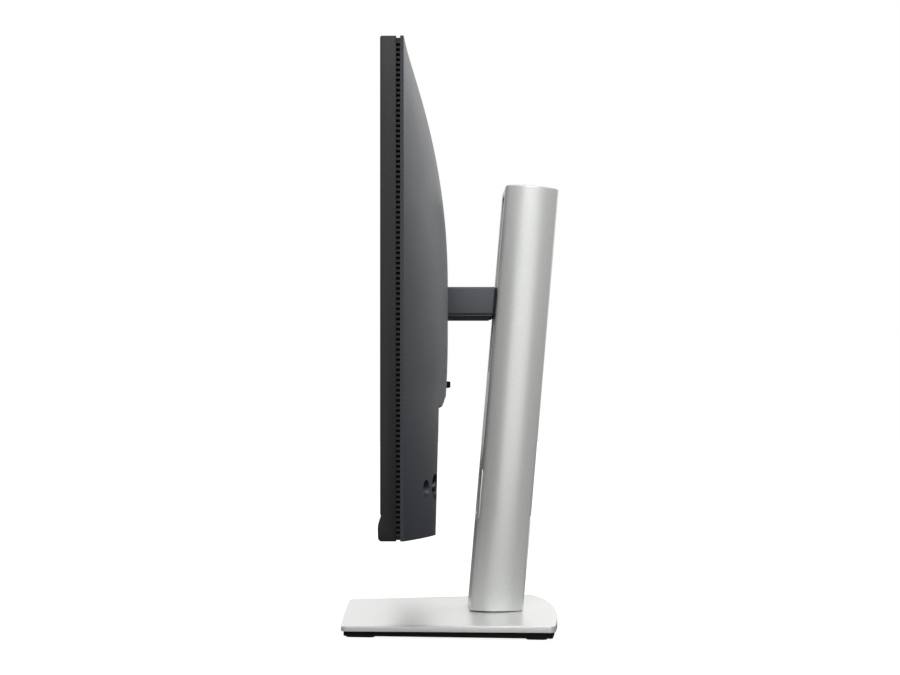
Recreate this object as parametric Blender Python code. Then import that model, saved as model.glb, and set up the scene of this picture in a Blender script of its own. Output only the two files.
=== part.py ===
"""Height-adjustable desktop monitor: head, arm, leaning column and base plate.

Lengths below are in millimetres and are turned into metres when a mesh is made. +Z is up, the
screen faces -Y, and the origin is the middle of the footprint on the table top.
"""

import math

import bmesh
import bpy
from mathutils import Matrix, Vector

MM = 0.001
GAP = 0.3  # clearance between neighbouring pieces
ROUND_STEPS = 20  # sides of an ordinary round piece

# ---- head -----------------------------------------------------------------------------------
HEAD_HALF_WIDTH = 268.9
HEAD_BOTTOM = 87.6
HEAD_TOP = 407.8
FRONT_FACE = -52.3
BAND_BACK = -42.0  # back of the front bezel, where the vent groove starts
GROOVE_BACK = -39.6  # front edge of the rear cover
RIM_BACK = -37.35  # the cover's flat rim ends here and its crowned back starts
CHIN_TOP = 105.3
BEZEL_WALL = 1.8
COVER_WALL = 2.2
CROWN_DEPTH = 31.0  # from the rim to the highest part of the back
CROWN_HALF_WIDTH = 150.0  # the back is level sideways as far out as this
CROWN_TOP = 262.0  # above this height the back curves forward
CROWN_FOOT = 221.0  # below this height it eases forward
LEDGE_TOP = 185.5
LEDGE_BOTTOM = 174.0
LEDGE_DEPTH = 26.2  # rim to the lower edge of the ledge
SHELF_DEPTH = 23.7  # rim to the flat panel under the ledge
SHELF_SLOPE = 0.0275
TOP_ROUND = 3.0

# ---- mounting recess and connector recess in the head ---------------------------------------
ARM_CENTRE = 259.65
ARM_HALF_HEIGHT = 11.55
ARM_HALF_WIDTH = 29.0
MOUNT_HALF = 58.0
MOUNT_FLOOR = -20.0
PORTS_HALF_WIDTH = 122.0
PORTS_BOTTOM = 140.0
PORTS_FLOOR = -32.6
BOARD_FRONT = -36.5
BOARD_BACK = -34.9

# ---- controls -------------------------------------------------------------------------------
WELL_HALF_WIDTH = 7.3  # the release button's well in the rear cover
WELL_BOTTOM = 191.2
WELL_TOP = 196.9
WELL_FLOOR = -20.0
STICK_X = 215.0
STICK_Z = 120.0
STICK_PIVOT = -31.0
POWER_X = 234.5
POWER_Z = 119.6

# ---- tilt and pivot -------------------------------------------------------------------------
TILT_AXIS_Y = -4.5
SHAFT_RADIUS = 3.0
ARM_FRONT = -7.0

# ---- column ---------------------------------------------------------------------------------
LEAN = math.radians(4.84)
COLUMN_FOOT = Vector((0.0, 36.15, 14.5))  # a point on the column's centre line
COLUMN_LENGTH = 338.4
COLUMN_BOTTOM = 13.4
COLUMN_HALF_WIDTH = 32.0
COLUMN_HALF_DEPTH = 21.15
COLUMN_FLAT = 22.0  # half width of the flat front and back
COLUMN_CORNER = 6.0
COLUMN_WALL = 2.5
COLUMN_TOP_ROUND = 3.0
SLOT_HALF_WIDTH = 13.5
SLOT_MIDDLE = 260.5  # along the column
SLOT_HALF_LENGTH = 71.5
CABLE_HALF_WIDTH = 25.3
CARRIAGE_TOP = 11.0
CARRIAGE_BOTTOM = -60.0
DRUM_DROP = 72.0
DRUM_RADIUS = 9.9
DRUM_Y = 1.4

# ---- base -----------------------------------------------------------------------------------
BASE_FRONT = -85.75
BASE_FRONT_HALF = 86.0
BASE_REAR_HALF = 102.0
BASE_REAR = 84.0
BASE_REAR_RADIUS = 590.0
BASE_CORNER = 4.5
BASE_TOP_FRONT = 8.5
BASE_TOP_REAR = 11.4
BASE_CROWN = 2.0
BASE_EDGE_FRONT = 5.0
BASE_EDGE_REAR = 6.2
BASE_WALL = 2.2
UNDERSIDE_BOTTOM = 1.4
HUB_RADIUS = 17.0
SCREW_RADIUS = 3.0
RING_HEIGHT = 3.7  # height of the folding ring's axis


# ---- making meshes --------------------------------------------------------------------------
def new_mesh_object(name, bm, origin):
    """An object from millimetre geometry, with its own origin at the given world place."""
    bmesh.ops.remove_doubles(bm, verts=bm.verts, dist=0.001)
    bmesh.ops.recalc_face_normals(bm, faces=bm.faces)
    bmesh.ops.translate(bm, verts=bm.verts, vec=-origin)
    bmesh.ops.scale(bm, verts=bm.verts, vec=(MM, MM, MM))
    mesh = bpy.data.meshes.new(name)
    bm.to_mesh(mesh)
    bm.free()
    thing = bpy.data.objects.new(name, mesh)
    bpy.context.collection.objects.link(thing)
    return thing


def body_axis(name, place, parent=None):
    """An empty on a joint's axis, which everything on that moving body hangs from."""
    empty = bpy.data.objects.new(name, None)
    empty.empty_display_size = 20 * MM
    bpy.context.collection.objects.link(empty)
    empty["place"] = place
    empty.parent = parent
    start = Vector(parent["place"]) if parent else Vector((0, 0, 0))
    empty.location = (Vector(place) - start) * MM
    return empty


def add_piece(name, bm, body, hex_colour, roughness, metallic=0.0):
    """One sub-part of the monitor, on its body, with its own material."""
    piece = new_mesh_object(name, bm, Vector(body["place"]))
    piece.parent = body
    red, green, blue = (int(hex_colour[i : i + 2], 16) / 255 for i in (0, 2, 4))
    material = bpy.data.materials.new(name)
    material.use_nodes = True
    shader = material.node_tree.nodes["Principled BSDF"]
    shader.inputs["Base Color"].default_value = (red**2.2, green**2.2, blue**2.2, 1)
    shader.inputs["Roughness"].default_value = roughness
    shader.inputs["Metallic"].default_value = metallic
    piece.data.materials.append(material)
    piece.data.shade_smooth()
    piece.data.set_sharp_from_angle(angle=math.radians(35))
    return piece


def combine(piece, bm, operation, label):
    """A live Boolean with a hidden helper made from bm."""
    helper = new_mesh_object(f"{piece.name}_{label}", bm, Vector(piece.parent["place"]))
    helper.parent = piece.parent
    helper.hide_render = True
    helper.display_type = "WIRE"
    modifier = piece.modifiers.new(label, "BOOLEAN")
    modifier.operation = operation
    modifier.solver = "EXACT"
    modifier.object = helper
    return helper


def cut(piece, bm, label="cutter"):
    return combine(piece, bm, "DIFFERENCE", label)


def join(piece, bm, label="addition"):
    return combine(piece, bm, "UNION", label)


# ---- outlines and solids --------------------------------------------------------------------
def arc(centre_a, centre_b, radius, start, end, steps):
    """Points on an arc, angles in degrees."""
    angles = [math.radians(start + (end - start) * i / steps) for i in range(steps + 1)]
    return [(centre_a + radius * math.cos(t), centre_b + radius * math.sin(t)) for t in angles]


def rounded_rectangle(centre_a, centre_b, half_a, half_b, radius, steps=4):
    points = []
    for quarter, (side_a, side_b) in enumerate(((1, 1), (-1, 1), (-1, -1), (1, -1))):
        corner_a = centre_a + side_a * (half_a - radius)
        corner_b = centre_b + side_b * (half_b - radius)
        points += arc(corner_a, corner_b, radius, 90 * quarter, 90 * quarter + 90, steps)
    return points


def add_box(bm, low, high):
    add_prism(bm, [(low[0], low[1]), (high[0], low[1]), (high[0], high[1]), (low[0], high[1])],
              "Z", low[2], high[2])


def in_space(axis, a, b, height):
    """An outline's point: (y, z) for an X prism, (x, z) for a Y prism, (x, y) for a Z prism."""
    return {"X": (height, a, b), "Y": (a, height, b), "Z": (a, b, height)}[axis]


def add_prism(bm, outline, axis, start, end):
    add_loft(bm, [[in_space(axis, a, b, h) for a, b in outline] for h in (start, end)])


def add_loft(bm, rings):
    """Quads between rings of equally many points, closed by a face at each end."""
    made = [[bm.verts.new(point) for point in ring] for ring in rings]
    for lower, upper in zip(made, made[1:]):
        for i in range(len(lower)):
            j = (i + 1) % len(lower)
            bm.faces.new((lower[i], lower[j], upper[j], upper[i]))
    bm.faces.new(reversed(made[0]))
    bm.faces.new(made[-1])


def add_frame(bm, outer, inner, axis, start, end):
    """A prism with a matching opening right through it."""
    loops = [[bm.verts.new(in_space(axis, a, b, h)) for a, b in line]
             for line, h in ((outer, start), (outer, end), (inner, end), (inner, start))]
    for first, second in zip(loops, loops[1:] + loops[:1]):
        for i in range(len(first)):
            j = (i + 1) % len(first)
            bm.faces.new((first[i], first[j], second[j], second[i]))


def add_turned(bm, profile, axis, centre, steps=ROUND_STEPS):
    """Spins (radius, height) points about an axis; a radius of 0 closes the solid there."""
    rings = []
    for radius, height in profile:
        turns = [2 * math.pi * i / steps for i in range(steps)] if radius > 0 else [0.0]
        ring = []
        for turn in turns:
            a, b = radius * math.cos(turn), radius * math.sin(turn)
            point = {"X": (height, a, b), "Y": (b, height, a), "Z": (a, b, height)}[axis]
            ring.append(bm.verts.new(Vector(point) + Vector(centre)))
        rings.append(ring)
    closed = profile[0][0] > 0
    pairs = list(zip(rings, rings[1:] + (rings[:1] if closed else [])))
    for first, second in pairs[: len(rings) if closed else len(rings) - 1]:
        for i in range(steps):
            j = (i + 1) % steps
            corners = [first[i % len(first)], first[j % len(first)],
                       second[j % len(second)], second[i % len(second)]]
            bm.faces.new(list(dict.fromkeys(corners)))


def rod(bm, axis, centre, radius, start, end, steps=ROUND_STEPS):
    add_turned(bm, [(0, start), (radius, start), (radius, end), (0, end)], axis, centre, steps)


def washer(bm, axis, centre, inner, outer, start, end, steps=ROUND_STEPS):
    add_turned(bm, [(outer, start), (outer, end), (inner, end), (inner, start)], axis, centre, steps)


# ---- head: shape of the back ----------------------------------------------------------------
def cover_height(x, z):
    """How far the cover's back stands behind its rim at (x, z)."""
    if z > CROWN_TOP:
        depth = CROWN_DEPTH - 0.00108 * (z - CROWN_TOP) ** 2
    else:
        depth = CROWN_DEPTH - 0.0009 * (CROWN_FOOT - min(max(z, LEDGE_TOP), CROWN_FOOT)) ** 2
    outward = max(0.0, abs(x) - CROWN_HALF_WIDTH) / (HEAD_HALF_WIDTH - CROWN_HALF_WIDTH)
    height = depth * (1 - outward**2)
    if z <= LEDGE_BOTTOM:
        height = min(height, SHELF_DEPTH - SHELF_SLOPE * (LEDGE_BOTTOM - z))
    elif z < LEDGE_TOP:
        rise = (z - LEDGE_BOTTOM) / (LEDGE_TOP - LEDGE_BOTTOM)
        height = min(height, LEDGE_DEPTH + rise * (CROWN_DEPTH - LEDGE_DEPTH))
    soft = min(TOP_ROUND, height)  # the upper edge is rounded, less so towards the corners
    edge = max(0.0, min(HEAD_TOP - z, soft))
    return height - (soft - math.sqrt(max(0.0, soft**2 - (soft - edge) ** 2)))


def cover_columns():
    half = [0, 60, 122, CROWN_HALF_WIDTH, 170, 188, 203, 210, 222, 236, 250, 260, 266.4]
    half.append(HEAD_HALF_WIDTH)
    return [-x for x in reversed(half[1:])] + half


def cover_rows():
    lower = [HEAD_BOTTOM, 110, 140, LEDGE_BOTTOM, LEDGE_BOTTOM + 0.2, LEDGE_TOP, 205, CROWN_FOOT]
    curve = [CROWN_TOP + 20.0 * i for i in range(8)]
    rounding = [HEAD_TOP - TOP_ROUND * (1 - math.sin(math.radians(t))) for t in (0, 30, 60, 90)]
    return lower + curve[:8] + rounding


def add_height_solid(bm, columns, rows, front, back):
    """A solid from a flat front at Y = front to the surface back(x, z)."""
    faces = []
    for place in (lambda x, z: front, back):
        faces.append([[bm.verts.new((x, place(x, z), z)) for x in columns] for z in rows])
    for sheet in faces:
        for low, high in zip(sheet, sheet[1:]):
            for i in range(len(columns) - 1):
                bm.faces.new((low[i], low[i + 1], high[i + 1], high[i]))
    near, far = faces
    borders = [
        (near[0], far[0]),
        (near[-1], far[-1]),
        ([row[0] for row in near], [row[0] for row in far]),
        ([row[-1] for row in near], [row[-1] for row in far]),
    ]
    for first, second in borders:
        for i in range(len(first) - 1):
            bm.faces.new((first[i], first[i + 1], second[i + 1], second[i]))


def cover_hollow_back(x, z):
    heights = [cover_height(x, z + shift) for shift in (-COVER_WALL, 0, COVER_WALL)]
    return RIM_BACK + min(heights) - COVER_WALL


# ---- head: pieces ---------------------------------------------------------------------------
PORTS = {  # name: (middle X, half width, Y from, Y to, mouth half width, mouth half depth, core)
    "power_inlet": (-95.0, 14.5, -32.3, -13.9, 12.0, 7.4, (0.0, 0.0)),
    "digital_video_port_1": (-8.0, 8.0, -27.0, -20.4, 7.0, 2.3, (5.2, 0.5)),
    "digital_video_port_2": (14.0, 9.0, -27.0, -20.2, 8.0, 2.4, (6.2, 0.6)),
    "analog_video_port": (48.0, 15.5, -29.0, -18.0, 8.4, 4.0, (7.4, 3.2)),
    "upstream_data_port": (76.0, 5.2, -28.6, -18.6, 4.2, 3.9, (2.8, 1.6)),
}
MOUTH = 172.6  # height of the connectors' open faces, just under the recess's ceiling
MOUTH_DEPTH = 8.0


def front_bezel(head):
    bm = bmesh.new()
    front = FRONT_FACE
    bulge = arc(front + 14.5, 95.5, 16.0, 150, 180, 5)
    start = [(front, CHIN_TOP)] + [point for point in bulge if point[1] < CHIN_TOP - 1]
    corner = arc(front + 1.2, HEAD_BOTTOM + 2.6, 2.6, 190, 270, 4)
    profile = start + corner + [(BAND_BACK, HEAD_BOTTOM), (BAND_BACK, HEAD_TOP)]
    profile += [(front + 0.8, HEAD_TOP), (front, HEAD_TOP - 0.8)]
    add_prism(bm, profile, "X", -HEAD_HALF_WIDTH, HEAD_HALF_WIDTH)
    bezel = add_piece("front_bezel", bm, head, "2b2b2c", 0.55)
    inner = HEAD_HALF_WIDTH - BEZEL_WALL
    hollow = bmesh.new()
    add_box(hollow, (-inner, front + 0.4, HEAD_BOTTOM + 2), (inner, BAND_BACK + 1, HEAD_TOP - BEZEL_WALL))
    cut(bezel, hollow, "hollow")
    window = bmesh.new()
    add_box(window, (-inner, front - 8, CHIN_TOP), (inner, front + 1, HEAD_TOP - BEZEL_WALL))
    cut(bezel, window, "window")
    light_hole = bmesh.new()
    rod(light_hole, "Z", (250, -47, 0), 1.4, HEAD_BOTTOM - 2, HEAD_BOTTOM + 4, 8)
    cut(bezel, light_hole, "light_hole")


def vent_strip(head):
    bm = bmesh.new()
    middle = (HEAD_BOTTOM + HEAD_TOP) / 2
    half_height = (HEAD_TOP - HEAD_BOTTOM) / 2 - 1.8
    outer = rounded_rectangle(0, middle, HEAD_HALF_WIDTH - 1.8, half_height, 1.5, 2)
    inner = rounded_rectangle(0, middle, HEAD_HALF_WIDTH - 4.8, half_height - 3, 0.8, 2)
    add_frame(bm, outer, inner, "Y", BAND_BACK + GAP, GROOVE_BACK - GAP)
    add_piece("vent_strip", bm, head, "141414", 0.7)


def rear_cover(head):
    bm = bmesh.new()
    add_height_solid(bm, cover_columns(), cover_rows(), GROOVE_BACK,
                     lambda x, z: RIM_BACK + cover_height(x, z))
    cover = add_piece("rear_cover", bm, head, "4a4c4f", 0.5)
    hollow = bmesh.new()
    reach = (HEAD_HALF_WIDTH - COVER_WALL) / HEAD_HALF_WIDTH
    columns = [x * reach for x in cover_columns()]
    rows = [z for z in cover_rows() if HEAD_BOTTOM < z < HEAD_TOP - TOP_ROUND]
    rows = [HEAD_BOTTOM + COVER_WALL] + rows + [HEAD_TOP - COVER_WALL]
    add_height_solid(hollow, columns, rows, GROOVE_BACK - 2, cover_hollow_back)
    inside = cut(cover, hollow, "hollow")
    walls = bmesh.new()
    wall = COVER_WALL
    middle, half = ARM_CENTRE, MOUNT_HALF
    add_box(walls, (-half - wall, MOUNT_FLOOR - wall, middle - half - wall),
            (half + wall, 5, middle + half + wall))
    add_box(walls, (-PORTS_HALF_WIDTH - wall, PORTS_FLOOR - 2, PORTS_BOTTOM - wall),
            (PORTS_HALF_WIDTH + wall, 5, LEDGE_BOTTOM + wall))
    rod(walls, "Y", (STICK_X, 0, STICK_Z), 10.5, -24.7, 0)
    rod(walls, "Y", (POWER_X, 0, POWER_Z), 7.75, -29.2, 0)
    combine(inside, walls, "DIFFERENCE", "walls")
    well = bmesh.new()
    add_box(well, (-WELL_HALF_WIDTH - wall, WELL_FLOOR - wall, WELL_BOTTOM - wall),
            (WELL_HALF_WIDTH + wall, 5, middle - half))
    combine(inside, well, "DIFFERENCE", "well")
    rooms = bmesh.new()
    add_prism(rooms, rounded_rectangle(0, middle, half, half, 6), "Y", MOUNT_FLOOR, 5)
    add_box(rooms, (-PORTS_HALF_WIDTH, PORTS_FLOOR, PORTS_BOTTOM),
            (PORTS_HALF_WIDTH, 5, LEDGE_BOTTOM))
    rod(rooms, "Y", (STICK_X, 0, STICK_Z), 8.5, -22.5, 0)
    rod(rooms, "Y", (POWER_X, 0, POWER_Z), 5.75, -27.0, 0)
    cut(cover, rooms, "rooms")
    holes = bmesh.new()
    rod(holes, "Y", (STICK_X, 0, STICK_Z), 4.6, -26, -20, 12)
    rod(holes, "Y", (POWER_X, 0, POWER_Z), 4.5, -31, -25, 12)
    add_box(holes, (-WELL_HALF_WIDTH, WELL_FLOOR, WELL_BOTTOM), (WELL_HALF_WIDTH, 5, WELL_TOP))
    for x, half_width, low_y, high_y in port_footprints():
        add_box(holes, (x - half_width - GAP, low_y - GAP, LEDGE_BOTTOM - 1),
                (x + half_width + GAP, high_y + GAP, LEDGE_BOTTOM + 4))
    for side in (-1, 1):
        for lift in (-50, 50):
            rod(holes, "Y", (side * 50, 0, middle + lift), 2.4, -23, -19, 8)
    cut(cover, holes, "holes")
    passage = bmesh.new()
    add_box(passage, (-6.9, WELL_FLOOR, WELL_TOP - 2), (6.9, -17.5, middle - half + 2))
    cut(cover, passage, "latch_passage")


def port_footprints():
    for x, half_width, low_y, high_y, *_ in PORTS.values():
        yield x, half_width, low_y, high_y
    yield 102.0, 14.4, -27.2, -20.0


def connector(head, name, x, half_width, low_y, high_y, sockets, height):
    """A connector housing whose sockets open downwards through the recess's ceiling."""
    bm = bmesh.new()
    shoulder = LEDGE_BOTTOM + COVER_WALL + GAP
    back = BOARD_BACK + GAP
    profile = [(low_y, MOUTH), (high_y, MOUTH), (high_y, MOUTH + height),
               (back, MOUTH + height), (back, shoulder), (low_y, shoulder)]
    add_prism(bm, profile, "X", x - half_width, x + half_width)
    housing = add_piece(name, bm, head, "1c1d1f", 0.4, 0.1)
    middle = (low_y + high_y) / 2
    for index, (offset, mouth_x, mouth_y, core_x, core_y) in enumerate(sockets):
        place = x + offset
        space = bmesh.new()
        outline = rounded_rectangle(place, middle, mouth_x, mouth_y, 0.6, 2)
        if core_x > 0:
            core = rounded_rectangle(place, middle, core_x, core_y, 0.2, 2)
            add_frame(space, outline, core, "Z", MOUTH - 1, MOUTH + MOUTH_DEPTH)
        else:
            add_prism(space, outline, "Z", MOUTH - 1, MOUTH + MOUTH_DEPTH)
        cut(housing, space, f"socket_{index}")
        if core_x > 0:
            trim = bmesh.new()
            add_box(trim, (place - core_x - 0.3, middle - core_y - 0.3, MOUTH - 1),
                    (place + core_x + 0.3, middle + core_y + 0.3, MOUTH + 1))
            cut(housing, trim, f"tip_{index}")
    return housing


def connectors(head):
    for name, (x, half_width, low_y, high_y, mouth_x, mouth_y, core) in PORTS.items():
        height = 20.0 if name == "power_inlet" else 13.0
        connector(head, name, x, half_width, low_y, high_y, [(0, mouth_x, mouth_y, *core)], height)
    pair = [(side * 7.2, 6.2, 2.6, 5.2, 0.9) for side in (-1, 1)]
    connector(head, "data_port_pair", 102.0, 14.4, -27.2, -20.0, pair, 13.0)


def panel_stack(head):
    """The flat layers of the display module, from the glass back to the steel pan."""
    layers = (
        ("lcd_panel", 266.8, -51.6, -50.4, 98.4, 405.7, "0a0b0d", 0.25, 0.0),
        ("diffuser_sheets", 265.5, -50.1, -49.2, 99.8, 404.4, "e8e8e4", 0.8, 0.0),
        ("light_guide", 265.5, -48.9, -46.1, 103.0, 404.4, "dfe6e4", 0.1, 0.0),
        ("led_bar", 264.0, -48.9, -46.1, 99.8, 102.6, "f2efdc", 0.5, 0.0),
        ("driver_board", 180.0, -50.6, -49.4, 90.6, 97.6, "1f4d36", 0.5, 0.0),
    )
    for name, half_width, front, back, low, high, colour, rough, metal in layers:
        bm = bmesh.new()
        add_box(bm, (-half_width, front, low), (half_width, back, high))
        add_piece(name, bm, head, colour, rough, metal)
    bm = bmesh.new()
    add_box(bm, (-266.8, -50.1, 98.4), (266.8, -44.6, 405.7))
    pan = add_piece("panel_back_pan", bm, head, "9a9c9e", 0.4, 0.9)
    tray = bmesh.new()
    add_box(tray, (-265.9, -52, 99.3), (265.9, -45.6, 404.8))
    cut(pan, tray, "tray")


def head_internals(head):
    bm = bmesh.new()
    front, back, flange = -44.3, -43.1, -38.3
    low, high, sheet = 120.0, 350.0, 1.2
    profile = [(front, low), (flange, low), (flange, low + sheet), (back, low + sheet),
               (back, high - sheet), (flange, high - sheet), (flange, high), (front, high)]
    add_prism(bm, profile, "X", -190, 190)
    add_piece("chassis_plate", bm, head, "a4a6a8", 0.4, 0.9)

    bm = bmesh.new()
    top, sheet, leg, foot = MOUNT_FLOOR - COVER_WALL - GAP, 1.5, 59.5, 70.0
    ground = back + GAP
    profile = [(-foot, ground), (-leg + sheet, ground), (-leg + sheet, top - sheet)]
    profile += [(leg - sheet, top - sheet), (leg - sheet, ground), (foot, ground)]
    profile += [(foot, ground + sheet), (leg, ground + sheet), (leg, top), (-leg, top)]
    profile += [(-leg, ground + sheet), (-foot, ground + sheet)]
    add_prism(bm, profile, "Z", ARM_CENTRE - 56, ARM_CENTRE + 56)
    add_piece("mount_bracket", bm, head, "a9abad", 0.4, 0.9)

    boards = {"main_board": (1, -30.0), "power_board": (-1, 34.0)}
    for name, (side, inner) in boards.items():
        outline = [(inner, 142), (170, 142), (170, 300), (72, 300), (72, 199), (inner, 199)]
        bm = bmesh.new()
        add_prism(bm, [(side * x, z) for x, z in outline], "Y", BOARD_FRONT, BOARD_BACK)
        add_piece(name, bm, head, "1f4d36", 0.5)

    bm = bmesh.new()
    add_box(bm, (200, BOARD_FRONT, 108), (245, BOARD_BACK, 132))
    add_piece("button_board", bm, head, "1f4d36", 0.5)
    bm = bmesh.new()
    rod(bm, "Z", (250, -47, 0), 1.1, HEAD_BOTTOM + 0.2, 97.0, 8)
    add_piece("power_light_pipe", bm, head, "f4f6f6", 0.2)


def controls(stick_side, stick_up, stick_press, power):
    centre = (STICK_X, 0, STICK_Z)
    bm = bmesh.new()
    washer(bm, "Y", centre, 3.2, 6.0, STICK_PIVOT - 1.5, STICK_PIVOT + 1.5, 16)
    add_piece("joystick_gimbal", bm, stick_side, "b9babb", 0.4, 0.8)
    bm = bmesh.new()
    rod(bm, "Y", centre, 2.2, STICK_PIVOT - 2.5, -19.3, 12)
    add_piece("joystick_stem", bm, stick_up, "d8d8d8", 0.4, 0.5)
    bm = bmesh.new()
    profile = [(0, -18.0), (2.5, -18.0), (2.5, -20.3), (3.3, -20.3), (3.3, -17.0),
               (2.5, -16.3), (0, -16.1)]
    add_turned(bm, profile, "Y", centre, 16)
    add_piece("joystick_knob", bm, stick_press, "3a3c3f", 0.45)
    bm = bmesh.new()
    profile = [(0, -33.0), (5.2, -33.0), (5.2, -31.4), (4.1, -31.4), (4.1, -25.9),
               (3.6, -25.5), (0, -25.5)]
    add_turned(bm, profile, "Y", (POWER_X, 0, POWER_Z), 16)
    add_piece("power_button", bm, power, "26282b", 0.45)


def quick_release(head, release, latch):
    """The stand's plate docked in the recess, and the latch and button that hold it there."""
    bm = bmesh.new()
    add_prism(bm, rounded_rectangle(0, ARM_CENTRE, 46, 46, 4, 2), "Y", -19.7, -17.9)
    plate = add_piece("quick_release_plate", bm, head, "8f9194", 0.4, 0.9)
    hole = bmesh.new()
    rod(hole, "Y", (0, 0, ARM_CENTRE), 20.0, -22, -15)
    cut(plate, hole, "bearing_hole")
    bm = bmesh.new()
    middle, half = (WELL_BOTTOM + WELL_TOP) / 2, (WELL_TOP - WELL_BOTTOM) / 2 - GAP
    outline = rounded_rectangle(0, middle, WELL_HALF_WIDTH - GAP, half, 1.2, 2)
    add_prism(bm, outline, "Y", -12.0, -0.3)
    add_piece("release_button", bm, release, "101112", 0.4)
    bm = bmesh.new()
    outline = [(-6.5, 212.9), (-6.5, 197.3), (-3.5, 197.3), (-3.5, 203.5),
               (3.5, 203.5), (3.5, 197.3), (6.5, 197.3), (6.5, 212.9)]
    add_prism(bm, outline, "Y", -19.7, -17.9)
    add_piece("release_latch", bm, latch, "b0b2b4", 0.35, 0.9)
    bm = bmesh.new()
    add_spring(bm, 0, middle, -19.5, -12.5)
    add_piece("latch_spring", bm, head, "c2c4c6", 0.3, 1.0)


def add_spring(bm, x, z, start, end):
    """A compression spring along Y: a round wire swept along a helix."""
    radius, wire, turns, sides = 1.9, 0.35, 4, 5
    steps = turns * 8
    rings = []
    for i in range(steps + 1):
        turn = 2 * math.pi * i / 8
        height = start + (end - start) * i / steps
        out = Vector((math.cos(turn), 0, math.sin(turn)))
        middle = Vector((x, height, z)) + out * radius
        ring = []
        for side in range(sides):
            angle = 2 * math.pi * side / sides
            ring.append(middle + (out * math.cos(angle) + Vector((0, 1, 0)) * math.sin(angle)) * wire)
        rings.append(ring)
    add_loft(bm, rings)


# ---- tilt joint and arm ---------------------------------------------------------------------
def tilt_unit(tilt):
    centre = (0, 0, ARM_CENTRE)
    bm = bmesh.new()
    profile = [(0, -19.6), (19.5, -19.6), (19.5, -17.6), (34, -17.6), (34, -14.6), (0, -14.6)]
    add_turned(bm, profile, "Y", centre, 28)
    add_piece("pivot_disc", bm, tilt, "7d7f82", 0.35, 0.9)

    bm = bmesh.new()
    add_box(bm, (-20.3, -14.3, ARM_CENTRE - 17), (20.3, -12.3, ARM_CENTRE + 17))
    bracket = add_piece("tilt_bracket", bm, tilt, "6f7174", 0.4, 0.9)
    for side in (-1, 1):
        ear = bmesh.new()
        outline = [(-13, ARM_CENTRE - 7), *arc(TILT_AXIS_Y, ARM_CENTRE, 7, -90, 90, 8),
                   (-13, ARM_CENTRE + 7)]
        add_prism(ear, outline, "X", side * 17.8, side * 20.3)
        join(bracket, ear, "ear_left" if side < 0 else "ear_right")
    bore = bmesh.new()
    rod(bore, "X", (0, TILT_AXIS_Y, ARM_CENTRE), SHAFT_RADIUS + GAP, -24, 24, 12)
    cut(bracket, bore, "bore")

    bm = bmesh.new()
    profile = [(0, -23.1), (5, -23.1), (5, -20.6), (SHAFT_RADIUS, -20.6), (SHAFT_RADIUS, 25.0), (0, 25.0)]
    add_turned(bm, profile, "X", (0, TILT_AXIS_Y, ARM_CENTRE), 12)
    add_piece("tilt_shaft", bm, tilt, "c9cbcd", 0.25, 1.0)
    bm = bmesh.new()
    hexagon_room = (SHAFT_RADIUS + GAP) / math.cos(math.radians(30))
    washer(bm, "X", (0, TILT_AXIS_Y, ARM_CENTRE), hexagon_room, 5.8, 20.6, 24.4, 6)
    add_piece("tilt_nut", bm, tilt, "c9cbcd", 0.3, 1.0)


def column_axis_y(z):
    """Y of the column's centre line at a height."""
    return COLUMN_FOOT.y + (z - COLUMN_FOOT.z) * math.tan(LEAN)


def column_plane(z, depth):
    """Y at a height of the leaning plane that lies depth behind the centre line."""
    return column_axis_y(z) + depth / math.cos(LEAN)


def add_leaning_prism(bm, outline, start, back_depth, front_depth=None):
    """An (x, z) outline run back to a plane that leans with the column."""
    rings = []
    for depth in (front_depth, back_depth):
        rings.append([(x, start if depth is None else column_plane(z, depth), z) for x, z in outline])
    add_loft(bm, rings)


def arm_outline(width, low, high, radius):
    middle, half = (low + high) / 2, (high - low) / 2
    return rounded_rectangle(0, middle, width, half, radius, 3)


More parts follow.
